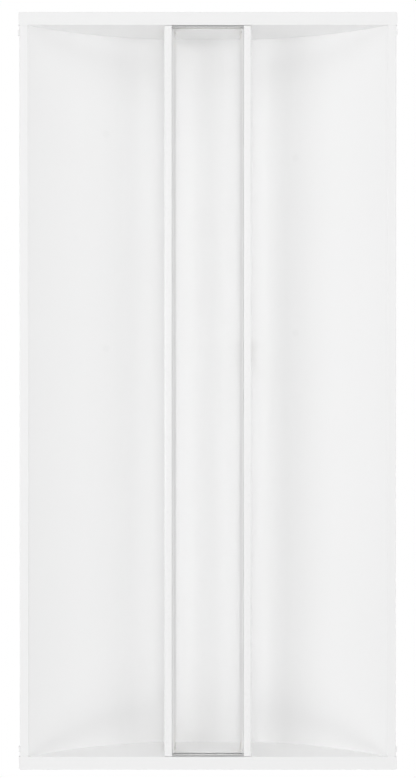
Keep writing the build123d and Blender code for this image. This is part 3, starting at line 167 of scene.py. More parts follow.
# ----------------------------------------------------------------------------- the lamps
# Name, place and width in metres, share of the power, and whether paint and metal mirror it.
# The front lamp stands behind the camera, where its image would wash out the flat faces.
LAMPS = (
    ("front_lamp", (0.5, 0.1, -2.6), 0.9, 0.11, False),
    ("left_lamp", (0.0, -2.2, -1.2), 1.2, 0.215, True),
    ("right_lamp", (0.0, 2.2, -1.2), 1.2, 0.14, True),
    ("head_lamp", (2.4, 0.0, -1.2), 1.2, 0.105, True),
    ("foot_lamp", (-2.4, 0.0, -1.2), 1.2, 0.125, True),
    ("head_right_lamp", (1.2, 1.2, -2.6), 0.8, 0.03, True),
    ("back_lamp", (-0.8, 1.2, 2.4), 2.6, 0.5, True),
)
FLOOR_GLOW = 0.62  # brings the lit floor up to white where it is seen directly
FLOOR_HALF = 40.0  # metres, so that its edge is never in a view
SENSOR_WIDTH = 36.0  # mm
CLIP_START = 0.05  # metres
CLIP_END = 50.0


# --------------------------------------------------------------------------- small tools
def linear(code):
    """An sRGB hex colour as linear red, green, blue and alpha."""
    parts = [int(code[i : i + 2], 16) / 255 for i in (1, 3, 5)]
    return (*[c / 12.92 if c <= 0.04045 else ((c + 0.055) / 1.055) ** 2.4 for c in parts], 1.0)


def dulled(colour, share):
    """A linear colour with only a share of its light."""
    return (*[part * share for part in colour[:3]], 1.0)


def per_mm(size):
    """The texture scale, in turns per metre, of a pattern that repeats about every size mm."""
    return 1.0 / (size * MM)


def add(tree, kind, sockets=None, **settings):
    """Adds a node; sockets maps input names or numbers to plain values or to outputs to link."""
    made = tree.nodes.new(kind)
    for name, value in settings.items():
        setattr(made, name, value)
    for key, value in (sockets or {}).items():
        if isinstance(value, bpy.types.NodeSocket):
            tree.links.new(value, made.inputs[key])
        else:
            made.inputs[key].default_value = value
    return made


def new_material(name, surface):
    """A material whose output takes the shader that surface(tree) returns."""
    material = bpy.data.materials.new(name)
    material.use_nodes = True
    tree = material.node_tree
    tree.nodes.clear()
    add(tree, "ShaderNodeOutputMaterial", {"Surface": surface(tree).outputs[0]})
    return material


def wear(node_names, material):
    """Puts one material in every slot of the named CAD nodes."""
    for name in node_names:
        materials = NODES[name].data.materials
        materials.clear()
        materials.append(material)


def recolour(tree, shader, mask, colour):
    """Where the 0 to 1 mask is 1, the shader's linked base colour gives way to another."""
    base = shader.inputs["Base Color"]
    both = {0: mask, COLOUR_A: base.links[0].from_socket, COLOUR_B: colour}
    mixed = add(tree, "ShaderNodeMix", both, data_type="RGBA")
    tree.links.new(mixed.outputs[MIXED], base)


def seen_directly(tree):
    """1 for rays from the camera and for those that gloss or glass sends on, 0 for soft light."""
    rays = add(tree, "ShaderNodeLightPath").outputs
    sent_on = {0: rays["Is Glossy Ray"], 1: rays["Is Transmission Ray"]}
    sent_on = add(tree, "ShaderNodeMath", sent_on, operation="MAXIMUM").outputs[0]
    either = {0: rays["Is Camera Ray"], 1: sent_on}
    return add(tree, "ShaderNodeMath", either, operation="MAXIMUM").outputs[0]


# ------------------------------------------------------------------------------- finishes
def powder_coat(tree, colour, roughness, peel_mm, peel_height):
    """Baked polyester powder on steel: near-white with a soft sheen.

    Its thickness drifts slowly, which tints it a hair. The skin has an orange peel, really some
    0.5 mm across and drawn coarser here, so that the sheen breaks up in the picture. Both of
    its sizes, peel_mm across and peel_height deep, are in mm.
    """
    place = add(tree, "ShaderNodeTexCoord").outputs["Object"]
    drift = {"Vector": place, "Scale": per_mm(COAT_DRIFT), "Detail": 2.0}
    drift = add(tree, "ShaderNodeTexNoise", drift).outputs[0]
    peel = {"Vector": place, "Scale": per_mm(peel_mm), "Detail": 1.0}
    peel = add(tree, "ShaderNodeTexNoise", peel).outputs[0]
    tones = {0: drift, COLOUR_A: colour, COLOUR_B: dulled(colour, COAT_THIN)}
    sheen = {"Value": peel, "To Min": roughness - COAT_SHEEN, "To Max": roughness + COAT_SHEEN}
    relief = {"Height": peel, "Distance": peel_height * MM, "Strength": 1.0}
    return add(
        tree,
        "ShaderNodeBsdfPrincipled",
        {
            "Base Color": add(tree, "ShaderNodeMix", tones, data_type="RGBA").outputs[MIXED],
            "Roughness": add(tree, "ShaderNodeMapRange", sheen).outputs[0],
            "Normal": add(tree, "ShaderNodeBump", relief).outputs[0],
            "IOR": COAT_IOR,
        },
    )


def reflector_white(tree):
    """High-reflectance matte powder coat of the arched sheet: the flattest white of the light.

    The shallow round clinch marks get a painted shade: the paint is darkened a little there,
    standing in for the shade in their dimples.
    """
    finishes = bpy.context.scene.troffer_finishes
    colour, roughness = finishes.reflector_colour, finishes.reflector_roughness
    shader = powder_coat(tree, colour, roughness, peel_mm=2.2, peel_height=0.003)
    place = add(tree, "ShaderNodeTexCoord").outputs["Object"]
    level = {0: place, 1: (1.0, 1.0, 0.0)}
    level = add(tree, "ShaderNodeVectorMath", level, operation="MULTIPLY").outputs[0]
    nearest = 1.0  # metres, to start with: well outside every mark
    for x, y in CLINCH_PLACES:
        away = {0: level, 1: (x * MM, y * MM, 0.0)}
        away = add(tree, "ShaderNodeVectorMath", away, operation="DISTANCE").outputs["Value"]
        nearest = add(tree, "ShaderNodeMath", {0: nearest, 1: away}, operation="MINIMUM").outputs[0]
    edge = {
        "Value": nearest,
        "From Min": (CLINCH_RADIUS - CLINCH_EDGE) * MM,
        "From Max": (CLINCH_RADIUS + CLINCH_EDGE) * MM,
        "To Min": 1.0,
        "To Max": 0.0,
    }
    # Painted shade: a soft-edged darker disc at each clinch mark, in place of the shade in the
    # dimple.
    clinch_shade = add(tree, "ShaderNodeMapRange", edge).outputs[0]
    recolour(tree, shader, clinch_shade, dulled(colour, CLINCH_SHADE_TONE))
    return shader


def housing_white(tree):
    """Satin powder coat on the steel rails and end plates: white with an even, soft sheen."""
    finishes = bpy.context.scene.troffer_finishes
    colour, roughness = finishes.paint_colour, finishes.paint_roughness
    return powder_coat(tree, colour, roughness, peel_mm=2.0, peel_height=0.003)


def trim_white(tree):
    """Glossier powder coat on the bar's aluminium trims: a line of light along their bends."""
    finishes = bpy.context.scene.troffer_finishes
    colour, roughness = finishes.trim_colour, finishes.trim_roughness
    return powder_coat(tree, colour, roughness, peel_mm=2.0, peel_height=0.002)


def driver_case(tree):
    """White paint on the driver's steel case: cooler than the housing's, and semi-gloss."""
    return powder_coat(tree, linear("#E4E6E8"), roughness=0.4, peel_mm=0.9, peel_height=0.006)


def anodised_aluminium(tree):
    """Clear-anodised extrusion: matte silver with fine die lines along its length."""
    place = add(tree, "ShaderNodeTexCoord").outputs["Object"]
    across = per_mm(DIE_LINE_PITCH)
    along = {"Vector": place, "Scale": (per_mm(DIE_LINE_LENGTH), across, across)}
    along = add(tree, "ShaderNodeMapping", along).outputs[0]
    lines = {"Vector": along, "Scale": 1.0, "Detail": 3.0}
    lines = add(tree, "ShaderNodeTexNoise", lines).outputs[0]
    colour = bpy.context.scene.troffer_finishes.channel_colour
    tones = {0: lines, COLOUR_A: colour, COLOUR_B: dulled(colour, DIE_LINE_TONE)}
    sheen = {"Value": lines, "To Min": 0.38, "To Max": 0.5}
    relief = {"Height": lines, "Distance": 0.01 * MM, "Strength": 0.6}
    return add(
        tree,
        "ShaderNodeBsdfPrincipled",
        {
            "Base Color": add(tree, "ShaderNodeMix", tones, data_type="RGBA").outputs[MIXED],
            "Metallic": 1.0,
            "Roughness": add(tree, "ShaderNodeMapRange", sheen).outputs[0],
            "Normal": add(tree, "ShaderNodeBump", relief).outputs[0],
        },
    )


def galvanised_steel(tree):
    """Hot-dip zinc on sheet steel: grey crystals, each with a tone and a gloss of its own."""
    place = add(tree, "ShaderNodeTexCoord").outputs["Object"]
    spangle = {"Vector": place, "Scale": per_mm(SPANGLE)}
    spangle = add(tree, "ShaderNodeTexVoronoi", spangle).outputs["Color"]
    tone = add(tree, "ShaderNodeSeparateColor", {"Color": spangle}).outputs
    frost = {"Vector": place, "Scale": per_mm(FROST), "Detail": 4.0}
    frost = add(tree, "ShaderNodeTexNoise", frost).outputs[0]
    grain = add(tree, "ShaderNodeMath", {0: tone[0], 1: frost}, operation="MULTIPLY").outputs[0]
    tones = {0: grain, COLOUR_A: linear("#A9ADB0"), COLOUR_B: linear("#C9CCCE")}
    sheen = {"Value": tone[1], "To Min": 0.34, "To Max": 0.52}
    relief = {"Height": grain, "Distance": 0.01 * MM, "Strength": 0.5}
    return add(
        tree,
        "ShaderNodeBsdfPrincipled",
        {
            "Base Color": add(tree, "ShaderNodeMix", tones, data_type="RGBA").outputs[MIXED],
            "Metallic": 1.0,
            "Roughness": add(tree, "ShaderNodeMapRange", sheen).outputs[0],
            "Normal": add(tree, "ShaderNodeBump", relief).outputs[0],
        },
    )


def plated(tree, light_tone, dark_tone, metallic, smooth, rough, mottle_mm):
    """Electroplated zinc on small hardware: bright, and finely mottled in tone and gloss."""
    place = add(tree, "ShaderNodeTexCoord").outputs["Object"]
    mottle = {"Vector": place, "Scale": per_mm(mottle_mm), "Detail": 3.0}
    mottle = add(tree, "ShaderNodeTexNoise", mottle).outputs[0]
    tones = {0: mottle, COLOUR_A: linear(light_tone), COLOUR_B: linear(dark_tone)}
    sheen = {"Value": mottle, "To Min": smooth, "To Max": rough}
    return add(
        tree,
        "ShaderNodeBsdfPrincipled",
        {
            "Base Color": add(tree, "ShaderNodeMix", tones, data_type="RGBA").outputs[MIXED],
            "Metallic": metallic,
            "Roughness": add(tree, "ShaderNodeMapRange", sheen).outputs[0],
        },
    )


def zinc_plate(tree):
    """Passivated zinc on screws, rivets, pins and studs: bright, with a straw cast in places."""
    tones = "#C9CACB", "#BDB9A6"
    return plated(tree, *tones, metallic=1.0, smooth=0.24, rough=0.4, mottle_mm=2.0)


def green_earth(tree):
    """Green-dyed zinc of the earth screw: the dye dulls the metal."""
    tones = "#2E7A45", "#246338"
    return plated(tree, *tones, metallic=0.8, smooth=0.3, rough=0.42, mottle_mm=1.5)


def clear_acrylic(tree):
    """Cast acrylic, polished and water-clear, with the faintest haze. Lamps shine through it."""
    finishes = bpy.context.scene.troffer_finishes
    place = add(tree, "ShaderNodeTexCoord").outputs["Object"]
    haze = {"Vector": place, "Scale": per_mm(PANEL_HAZE), "Detail": 2.0}
    haze = add(tree, "ShaderNodeTexNoise", haze).outputs[0]
    sheen = {"Value": haze, "To Min": 0.0, "To Max": 0.02}
    panel = add(
        tree,
        "ShaderNodeBsdfPrincipled",
        {
            "Base Color": linear("#FDFDFD"),
            "Roughness": add(tree, "ShaderNodeMapRange", sheen).outputs[0],
            "IOR": finishes.panel_ior,
            "Transmission Weight": 1.0,
        },
    ).outputs[0]
    # For a lamp's light each of the panel's two faces is a plain, faintly grey pane.
    clear = add(tree, "ShaderNodeBsdfTransparent", {"Color": linear("#FBFBFB")}).outputs[0]
    shadow = add(tree, "ShaderNodeLightPath").outputs["Is Shadow Ray"]
    return add(tree, "ShaderNodeMixShader", {0: shadow, 1: panel, 2: clear})


def grey_foam(tree):
    """Closed-cell foam strip, die-cut: mid grey and matte, pitted by the cells cut open.

    Its side to the panel carries the white film of its adhesive.
    """
    place = add(tree, "ShaderNodeTexCoord").outputs["Object"]
    cells = {"Vector": place, "Scale": per_mm(FOAM_CELL)}
    cells = add(tree, "ShaderNodeTexVoronoi", cells).outputs["Distance"]
    tones = {0: cells, COLOUR_A: linear("#A6A7A7"), COLOUR_B: linear("#BCBDBD")}
    relief = {"Height": cells, "Distance": 0.1 * MM, "Strength": 0.7}
    foam = add(
        tree,
        "ShaderNodeBsdfPrincipled",
        {
            "Base Color": add(tree, "ShaderNodeMix", tones, data_type="RGBA").outputs[MIXED],
            "Roughness": 0.95,
            "Normal": add(tree, "ShaderNodeBump", relief).outputs[0],
        },
    )
    along = add(tree, "ShaderNodeSeparateXYZ", {0: place}).outputs["X"]
    out = add(tree, "ShaderNodeMath", {0: along}, operation="ABSOLUTE").outputs[0]
    film = {0: out, 1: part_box("light_guide_panel")[1][0] + SEAL_FILM * MM}
    film = add(tree, "ShaderNodeMath", film, operation="LESS_THAN").outputs[0]
    recolour(tree, foam, film, linear("#F4F4F4"))
    return foam


def moulded(tree, light_tone, dark_tone, roughness, grain_mm):
    """Injection-moulded or extruded plastic: even colour under a fine grain.

    The real grain is some 0.1 mm across and drawn coarser here, so that a close view shows it.
    """
    place = add(tree, "ShaderNodeTexCoord").outputs["Object"]
    grain = {"Vector": place, "Scale": per_mm(grain_mm), "Detail": 2.0}
    grain = add(tree, "ShaderNodeTexNoise", grain).outputs[0]
    tones = {0: grain, COLOUR_A: linear(light_tone), COLOUR_B: linear(dark_tone)}
    low, high = roughness - MOULDED_SHEEN, roughness + MOULDED_SHEEN
    sheen = {"Value": grain, "To Min": low, "To Max": high}
    relief = {"Height": grain, "Distance": 0.02 * MM, "Strength": 0.5}
    return add(
        tree,
        "ShaderNodeBsdfPrincipled",
        {
            "Base Color": add(tree, "ShaderNodeMix", tones, data_type="RGBA").outputs[MIXED],
            "Roughness": add(tree, "ShaderNodeMapRange", sheen).outputs[0],
            "Normal": add(tree, "ShaderNodeBump", relief).outputs[0],
        },
    )


def natural_nylon(tree):
    """Undyed moulded nylon 66: milky ivory with a waxy sheen, and light goes a little way in."""
    shader = moulded(tree, "#E9E4D6", "#DFD9C8", roughness=0.42, grain_mm=0.6)
    shader.inputs["Subsurface Weight"].default_value = 0.2
    shader.inputs["Subsurface Scale"].default_value = 1.5 * MM
    return shader


def black_nylon(tree):
    """Moulded black nylon of the cable bushing: satin black."""
    return moulded(tree, "#1A1A1B", "#141415", roughness=0.45, grain_mm=0.6)


def black_rubber(tree):
    """Moulded rubber of the grommet: near black and dull."""
    return moulded(tree, "#1E1E1F", "#161617", roughness=0.75, grain_mm=0.4)


def white_connector(tree):
    """Moulded polyester of the connector shells: a warm white with some gloss."""
    return moulded(tree, "#EEEDE8", "#E6E5DF", roughness=0.38, grain_mm=0.5)


def orange_terminal(tree):
    """Moulded orange polyamide of the terminal block, with a thin dark joint between poles."""
    shader = moulded(tree, "#DE7A1E", "#D06E16", roughness=0.4, grain_mm=0.5)
    place = add(tree, "ShaderNodeTexCoord").outputs["Object"]
    height = add(tree, "ShaderNodeSeparateXYZ", {0: place}).outputs["Z"]
    turns = {0: height, 1: per_mm(POLE_PITCH)}
    turns = add(tree, "ShaderNodeMath", turns, operation="MULTIPLY").outputs[0]
    part = add(tree, "ShaderNodeMath", {0: turns}, operation="FRACT").outputs[0]
    joint = add(tree, "ShaderNodeMath", {0: part, 1: POLE_JOINT}, operation="LESS_THAN").outputs[0]
    recolour(tree, shader, joint, linear("#8A4209"))
    return shader


def white_board(tree):
    """Printed circuit board under white solder mask: its copper tracks stand out a hair."""
    place = add(tree, "ShaderNodeTexCoord").outputs["Object"]
    height = add(tree, "ShaderNodeSeparateXYZ", {0: place}).outputs["Z"]
    turns = {0: height, 1: per_mm(TRACK_PITCH)}
    turns = add(tree, "ShaderNodeMath", turns, operation="MULTIPLY").outputs[0]
    across = add(tree, "ShaderNodeMath", {0: turns, 1: 0.5}, operation="PINGPONG").outputs[0]
    track = {0: across, 1: TRACK_GAP}
    track = add(tree, "ShaderNodeMath", track, operation="GREATER_THAN").outputs[0]
    tones = {0: track, COLOUR_A: linear("#F0F0EB"), COLOUR_B: linear("#E8E9E2")}
    sheen = {"Value": across, "To Min": 0.28, "To Max": 0.36}
    relief = {"Height": track, "Distance": 0.03 * MM, "Strength": 0.8}
    return add(
        tree,
        "ShaderNodeBsdfPrincipled",
        {
            "Base Color": add(tree, "ShaderNodeMix", tones, data_type="RGBA").outputs[MIXED],
            "Roughness": add(tree, "ShaderNodeMapRange", sheen).outputs[0],
            "Normal": add(tree, "ShaderNodeBump", relief).outputs[0],
        },
    )


def led_phosphor(tree):
    """LED package: glossy silicone over yellow phosphor, in a white moulded frame."""
    shader = moulded(tree, "#F0CF52", "#E6C247", roughness=0.25, grain_mm=0.4)
    place = add(tree, "ShaderNodeTexCoord").outputs["Object"]
    height = add(tree, "ShaderNodeSeparateXYZ", {0: place}).outputs["Z"]
    middle = {0: height, 1: CHIP_MIDDLE * MM}
    middle = add(tree, "ShaderNodeMath", middle, operation="SUBTRACT").outputs[0]
    away = add(tree, "ShaderNodeMath", {0: middle}, operation="ABSOLUTE").outputs[0]
    outside = {0: away, 1: CHIP_WINDOW * MM}
    outside = add(tree, "ShaderNodeMath", outside, operation="GREATER_THAN").outputs[0]
    recolour(tree, shader, outside, linear("#F2F1EA"))
    return shader


def thermal_tape(tree):
    """Coated acrylic tape filled with ceramic powder: grey and dull."""
    return moulded(tree, "#A3A6A8", "#94979A", roughness=0.7, grain_mm=0.5)


def lead_skin(light_tone, dark_tone):
    """Extruded PVC insulation in one colour, with a slight gloss."""
    return lambda tree: moulded(tree, light_tone, dark_tone, roughness=0.36, grain_mm=1.2)


# --------------------------------------------------------------------------- new surfaces
def swept_mesh(name, sweeps, smooth):
    """A mesh of closed solids, each a section carried along a path.

    A sweep is an array of rings by points by places. Each point is joined to its neighbour on
    the ring and to the two on the next ring by a four-sided face, and one flat face closes each
    end. A ring turns clockwise as seen along the path, so that the faces point outwards.
    """
    points, walls, ends, start = [], [], [], 0
    for rings in sweeps:
        count, sides = rings.shape[:2]
        row = start + np.arange(count - 1)[:, None] * sides
        here = row + np.arange(sides)
        beside = row + (np.arange(sides) + 1) % sides
        wall = np.stack([here, beside, beside + sides, here + sides], axis=-1)
        walls += wall.reshape(-1, 4).tolist()
        ends.append((start + np.arange(sides)[::-1]).tolist())
        ends.append((start + (count - 1) * sides + np.arange(sides)).tolist())
        points.append(rings.reshape(-1, 3))
        start += count * sides
    mesh = bpy.data.meshes.new(name)
    mesh.from_pydata(np.vstack(points).tolist(), [], walls + ends)
    mesh.polygons.foreach_set("use_smooth", [smooth] * len(walls) + [False] * len(ends))
    mesh.update()
    return mesh


def route_line(route):
    """Points along a smooth line through the route: a NURBS spline of order 3 held at its ends."""
    curve = bpy.data.curves.new("lead_route", "CURVE")
    curve.dimensions = "3D"
    spline = curve.splines.new("NURBS")
    spline.points.add(len(route) - 1)
    for point, place in zip(spline.points, route):
        point.co = (*[c * MM for c in place], 1.0)
    spline.order_u = 3
    spline.use_endpoint_u = True
    spline.resolution_u = LEAD_STEPS
    holder = bpy.data.objects.new("lead_route", curve)
    line = bpy.data.meshes.new_from_object(holder)
    places = np.empty(len(line.vertices) * 3)
    line.vertices.foreach_get("co", places)
    bpy.data.objects.remove(holder)
    bpy.data.curves.remove(curve)
    bpy.data.meshes.remove(line)
    return places.reshape(-1, 3)


def tube_rings(line, radius):
    """Circles along a line, each square to the line's mean direction at its point.

    The line runs nearly square to Y. So a circle's first axis is Y less its part along the
    line, and its second is square to both: place = point + radius (cos t first + sin t second).
    """
    steps = np.diff(line, axis=0)
    ahead = np.vstack([steps[:1], steps[:-1] + steps[1:], steps[-1:]])
    ahead /= np.linalg.norm(ahead, axis=1)[:, None]
    first = np.array((0.0, 1.0, 0.0)) - ahead * ahead[:, 1:2]
    first /= np.linalg.norm(first, axis=1)[:, None]
    second = np.cross(ahead, first)
    turn = np.linspace(0.0, 2 * math.pi, LEAD_SIDES, endpoint=False)[None, :, None]
    circles = np.cos(turn) * first[:, None, :] + np.sin(turn) * second[:, None, :]
    return line[:, None, :] + radius * circles


def strip_rings(x_limits, y_limits, z_limits, corner):
    """A strip's rounded rectangle in x and z, carried along y, in the units of its limits.

    Each quarter of the ring is an arc, corner (sin t, cos t), round a point that lies one corner
    radius inside two sides. The outer side wanders: x moves by SEAL_WAVE sin(2 pi y / length),
    by the share of the strip's width that the point lies from the inner side.
    """
    quarter = np.arange(4)[:, None] * math.pi / 2
    turn = (quarter + np.linspace(0.0, math.pi / 2, SEAL_CORNER_POINTS)).ravel()
    side_x = np.repeat(np.sign(np.sin(quarter + math.pi / 4)), SEAL_CORNER_POINTS)
    side_z = np.repeat(np.sign(np.cos(quarter + math.pi / 4)), SEAL_CORNER_POINTS)
    half_x, half_z = (np.ptp(limits) / 2 for limits in (x_limits, z_limits))
    x = np.mean(x_limits) + side_x * (half_x - corner) + corner * np.sin(turn)
    z = np.mean(z_limits) + side_z * (half_z - corner) + corner * np.cos(turn)
    y = np.linspace(*y_limits, SEAL_STEPS)
    share = np.abs(x - min(x_limits, key=abs)) / (2 * half_x)
    wave = SEAL_WAVE * MM * np.sin(2 * math.pi * y / (SEAL_WAVE_LENGTH * MM))
    places = np.empty((SEAL_STEPS, len(turn), 3))
    places[:, :, 0] = x + wave[:, None] * share
    places[:, :, 1] = y[:, None]
    places[:, :, 2] = z
    return places


def put_in_scene(context, name, mesh, material):
    """An object at the origin that shows the mesh in one material."""
    mesh.materials.append(material)
    piece = bpy.data.objects.new(name, mesh)
    context.scene.collection.objects.link(piece)
    return piece


# ------------------------------------------------------------------------------ properties
class TrofferFinishes(bpy.types.PropertyGroup):
    """Colours and roughness of the finishes that show in the light's face"""

    reflector_colour: FloatVectorProperty(
        name="Reflector colour",
        description="Colour of the arched reflector's powder coat",
        default=linear("#F3F3F3"),
        size=4,
        min=0.0,
        max=1.0,
        subtype="COLOR",
    )
    reflector_roughness: FloatProperty(
        name="Reflector roughness",
        description="Roughness of the arched reflector's matte powder coat",
        default=0.62,
        min=0.05,
        max=1.0,
        subtype="FACTOR",
    )
    paint_colour: FloatVectorProperty(
        name="Paint colour",
        description="Colour of the powder coat on rails and end plates",
        default=linear("#F1F1F1"),
        size=4,
        min=0.0,
        max=1.0,
        subtype="COLOR",
    )
    paint_roughness: FloatProperty(
        name="Paint roughness",
        description="Roughness of the satin powder coat on rails and end plates",
        default=0.45,
        min=0.1,
        max=1.0,
        subtype="FACTOR",
    )
    trim_colour: FloatVectorProperty(
        name="Trim colour",
        description="Colour of the powder coat on the bar's trims",
        default=linear("#F2F2F2"),
        size=4,
        min=0.0,
        max=1.0,
        subtype="COLOR",
    )
    trim_roughness: FloatProperty(
        name="Trim roughness",
        description="Roughness of the powder coat on the bar's trims",
        default=0.28,
        min=0.1,
        max=1.0,
        subtype="FACTOR",
    )
    channel_colour: FloatVectorProperty(
        name="Channel colour",
        description="Colour of the bar's anodised aluminium channels",
        default=linear("#F5F5F5"),
        size=4,
        min=0.0,
        max=1.0,
        subtype="COLOR",
    )
    panel_ior: FloatProperty(
        name="Panel IOR",
        description="Index of refraction of the clear panel",
        default=1.49,
        min=1.0,
        max=2.0,
    )


class TrofferSizes(bpy.types.PropertyGroup):
    """Sizes of the pieces made here"""

    lead_radius: FloatProperty(
        name="Lead radius",
        description="Radius of the bar's lead",
        default=1.6 * MM,
        min=0.5 * MM,
        max=3.0 * MM,
        unit="LENGTH",
        precision=4,
    )
    seal_corner: FloatProperty(
        name="Seal corner",
        description="Corner radius of the foam strips at the panel's ends",
        default=0.35 * MM,
        min=0.05 * MM,
        max=0.6 * MM,
        unit="LENGTH",
        precision=5,
    )


class TrofferStage(bpy.types.PropertyGroup):
    """Camera, floor and light"""

    camera_place: FloatVectorProperty(
        name="Camera place",
        description="Where the camera stands",
        default=(0.0110, 0.0003, -1.520),
        subtype="XYZ",
        unit="LENGTH",
        precision=4,
    )
    camera_target: FloatVectorProperty(
        name="Camera target",
        description="The point of the rim's plane at the middle of the view",
        default=(0.0041, 0.0003, 0.0),
        subtype="XYZ",
        unit="LENGTH",
        precision=4,
    )
    focal_length: FloatProperty(
        name="Focal length",
        description="Lens focal length on a 36 mm sensor",
        default=43.96,
        min=10.0,
        max=200.0,
        unit="CAMERA",
    )
    floor_height: FloatProperty(
        name="Floor height",
        description="Height of the room's floor below the rim",
        default=-3.6,
        unit="LENGTH",
    )
    floor_colour: FloatVectorProperty(
        name="Floor colour",
        description="Colour of the room's floor",
        default=linear("#F4F4F4"),
        size=4,
        min=0.0,
        max=1.0,
        subtype="COLOR",
    )
    ambient: FloatProperty(
        name="Ambient light",
        description="Strength of the white surroundings as light",
        default=0.475,
        min=0.0,
        max=2.0,
    )
    lamp_power: FloatProperty(
        name="Lamp power",
        description="Power of the soft lamps, which each lamp takes its share of",
        default=84.5,
        min=0.0,
        unit="POWER",
    )


# ------------------------------------------------------------------------------- operators
class TROFFER_OT_housing(bpy.types.Operator):
    """Paint the arched reflector, the side rails, the end plates and their small steel pieces"""

    bl_idname = "troffer.housing"
    bl_label = "Housing"

    def execute(self, context):
        wear(REFLECTOR_NODES, new_material("reflector_white_powder", reflector_white))
        wear(PAINTED_NODES, new_material("housing_white_powder", housing_white))
        return {"FINISHED"}


class TROFFER_OT_light_bar(bpy.types.Operator):
    """Finish the bar: trims, channels, clear panel, boards, LED chips, tape and grommet"""

    bl_idname = "troffer.light_bar"
    bl_label = "Light bar"

    def execute(self, context):
        wear(TRIM_NODES, new_material("trim_white_powder", trim_white))
        wear(CHANNEL_NODES, new_material("anodised_aluminium", anodised_aluminium))
        wear(("light_guide_panel",), new_material("clear_acrylic", clear_acrylic))
        wear(("led_boards",), new_material("white_board", white_board))
        wear(("led_chips",), new_material("led_phosphor", led_phosphor))
        wear(("thermal_tapes",), new_material("thermal_tape", thermal_tape))
        wear(("rail_grommet",), new_material("black_rubber", black_rubber))
        return {"FINISHED"}


class TROFFER_OT_seals(bpy.types.Operator):
    """Make the foam strip at each end of the panel"""

    bl_idname = "troffer.seals"
    bl_label = "Panel end seals"

    def execute(self, context):
        low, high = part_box("panel_end_seals")
        panel_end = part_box("light_guide_panel")[1][0]
        near, far = panel_end - SEAL_WETTED * MM, SEAL_OUTER * MM
        corner = context.scene.troffer_sizes.seal_corner
        y_limits, z_limits = (low[1], high[1]), (low[2], high[2])
        sweeps = [
            strip_rings(x_limits, y_limits, z_limits, corner)
            for x_limits in ((near, far), (-far, -near))
        ]
        mesh = swept_mesh("panel_end_foam", sweeps, smooth=False)
        foam = new_material("grey_foam", grey_foam)
        seals = put_in_scene(context, "panel_end_foam", mesh, foam)
        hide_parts("panel_end_seals")
        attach(seals, "light_bar")
        return {"FINISHED"}


class TROFFER_OT_hardware(bpy.types.Operator):
    """Finish the screws, rivets, pins, studs and the nylon bushes, blocks and sockets"""

    bl_idname = "troffer.hardware"
    bl_label = "Hardware"

    def execute(self, context):
        wear(ZINC_NODES, new_material("zinc_plate", zinc_plate))
        wear(("ground_screw",), new_material("green_zinc", green_earth))
        wear(NYLON_NODES, new_material("natural_nylon", natural_nylon))
        wear(("cable_bushing",), new_material("black_nylon", black_nylon))
        return {"FINISHED"}


class TROFFER_OT_driver_box(bpy.types.Operator):
    """Finish the galvanised box, its cover, the driver and the terminal block"""

    bl_idname = "troffer.driver_box"
    bl_label = "Driver box"

    def execute(self, context):
        wear(GALVANISED_NODES, new_material("galvanised_steel", galvanised_steel))
        wear(("led_driver",), new_material("driver_white_paint", driver_case))
        wear(("terminal_block",), new_material("orange_polyamide", orange_terminal))
        wear(CONNECTOR_NODES, new_material("white_polyester", white_connector))
        return {"FINISHED"}


class TROFFER_OT_leads(bpy.types.Operator):
    """Finish the leads, and give the bar's lead a smooth skin along its route"""

    bl_idname = "troffer.leads"
    bl_label = "Leads"

    def execute(self, context):
        white = new_material("white_pvc", lead_skin("#EDEDEA", "#E5E5E1"))
        wear(WHITE_LEAD_NODES, white)
        wear(("line_lead",), new_material("black_pvc", lead_skin("#1B1B1C", "#151516")))
        wear(("dimming_leads",), new_material("violet_pvc", lead_skin("#7A4A8F", "#704287")))
        wear(("ground_lead",), new_material("green_pvc", lead_skin("#1E7A3C", "#1A6E35")))
        rings = tube_rings(route_line(BAR_LEAD_ROUTE), context.scene.troffer_sizes.lead_radius)
        mesh = swept_mesh("bar_lead_skin", [rings], smooth=True)
        lead = put_in_scene(context, "bar_lead_skin", mesh, white)
        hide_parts("bar_lead")
        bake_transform(lead)
        return {"FINISHED"}


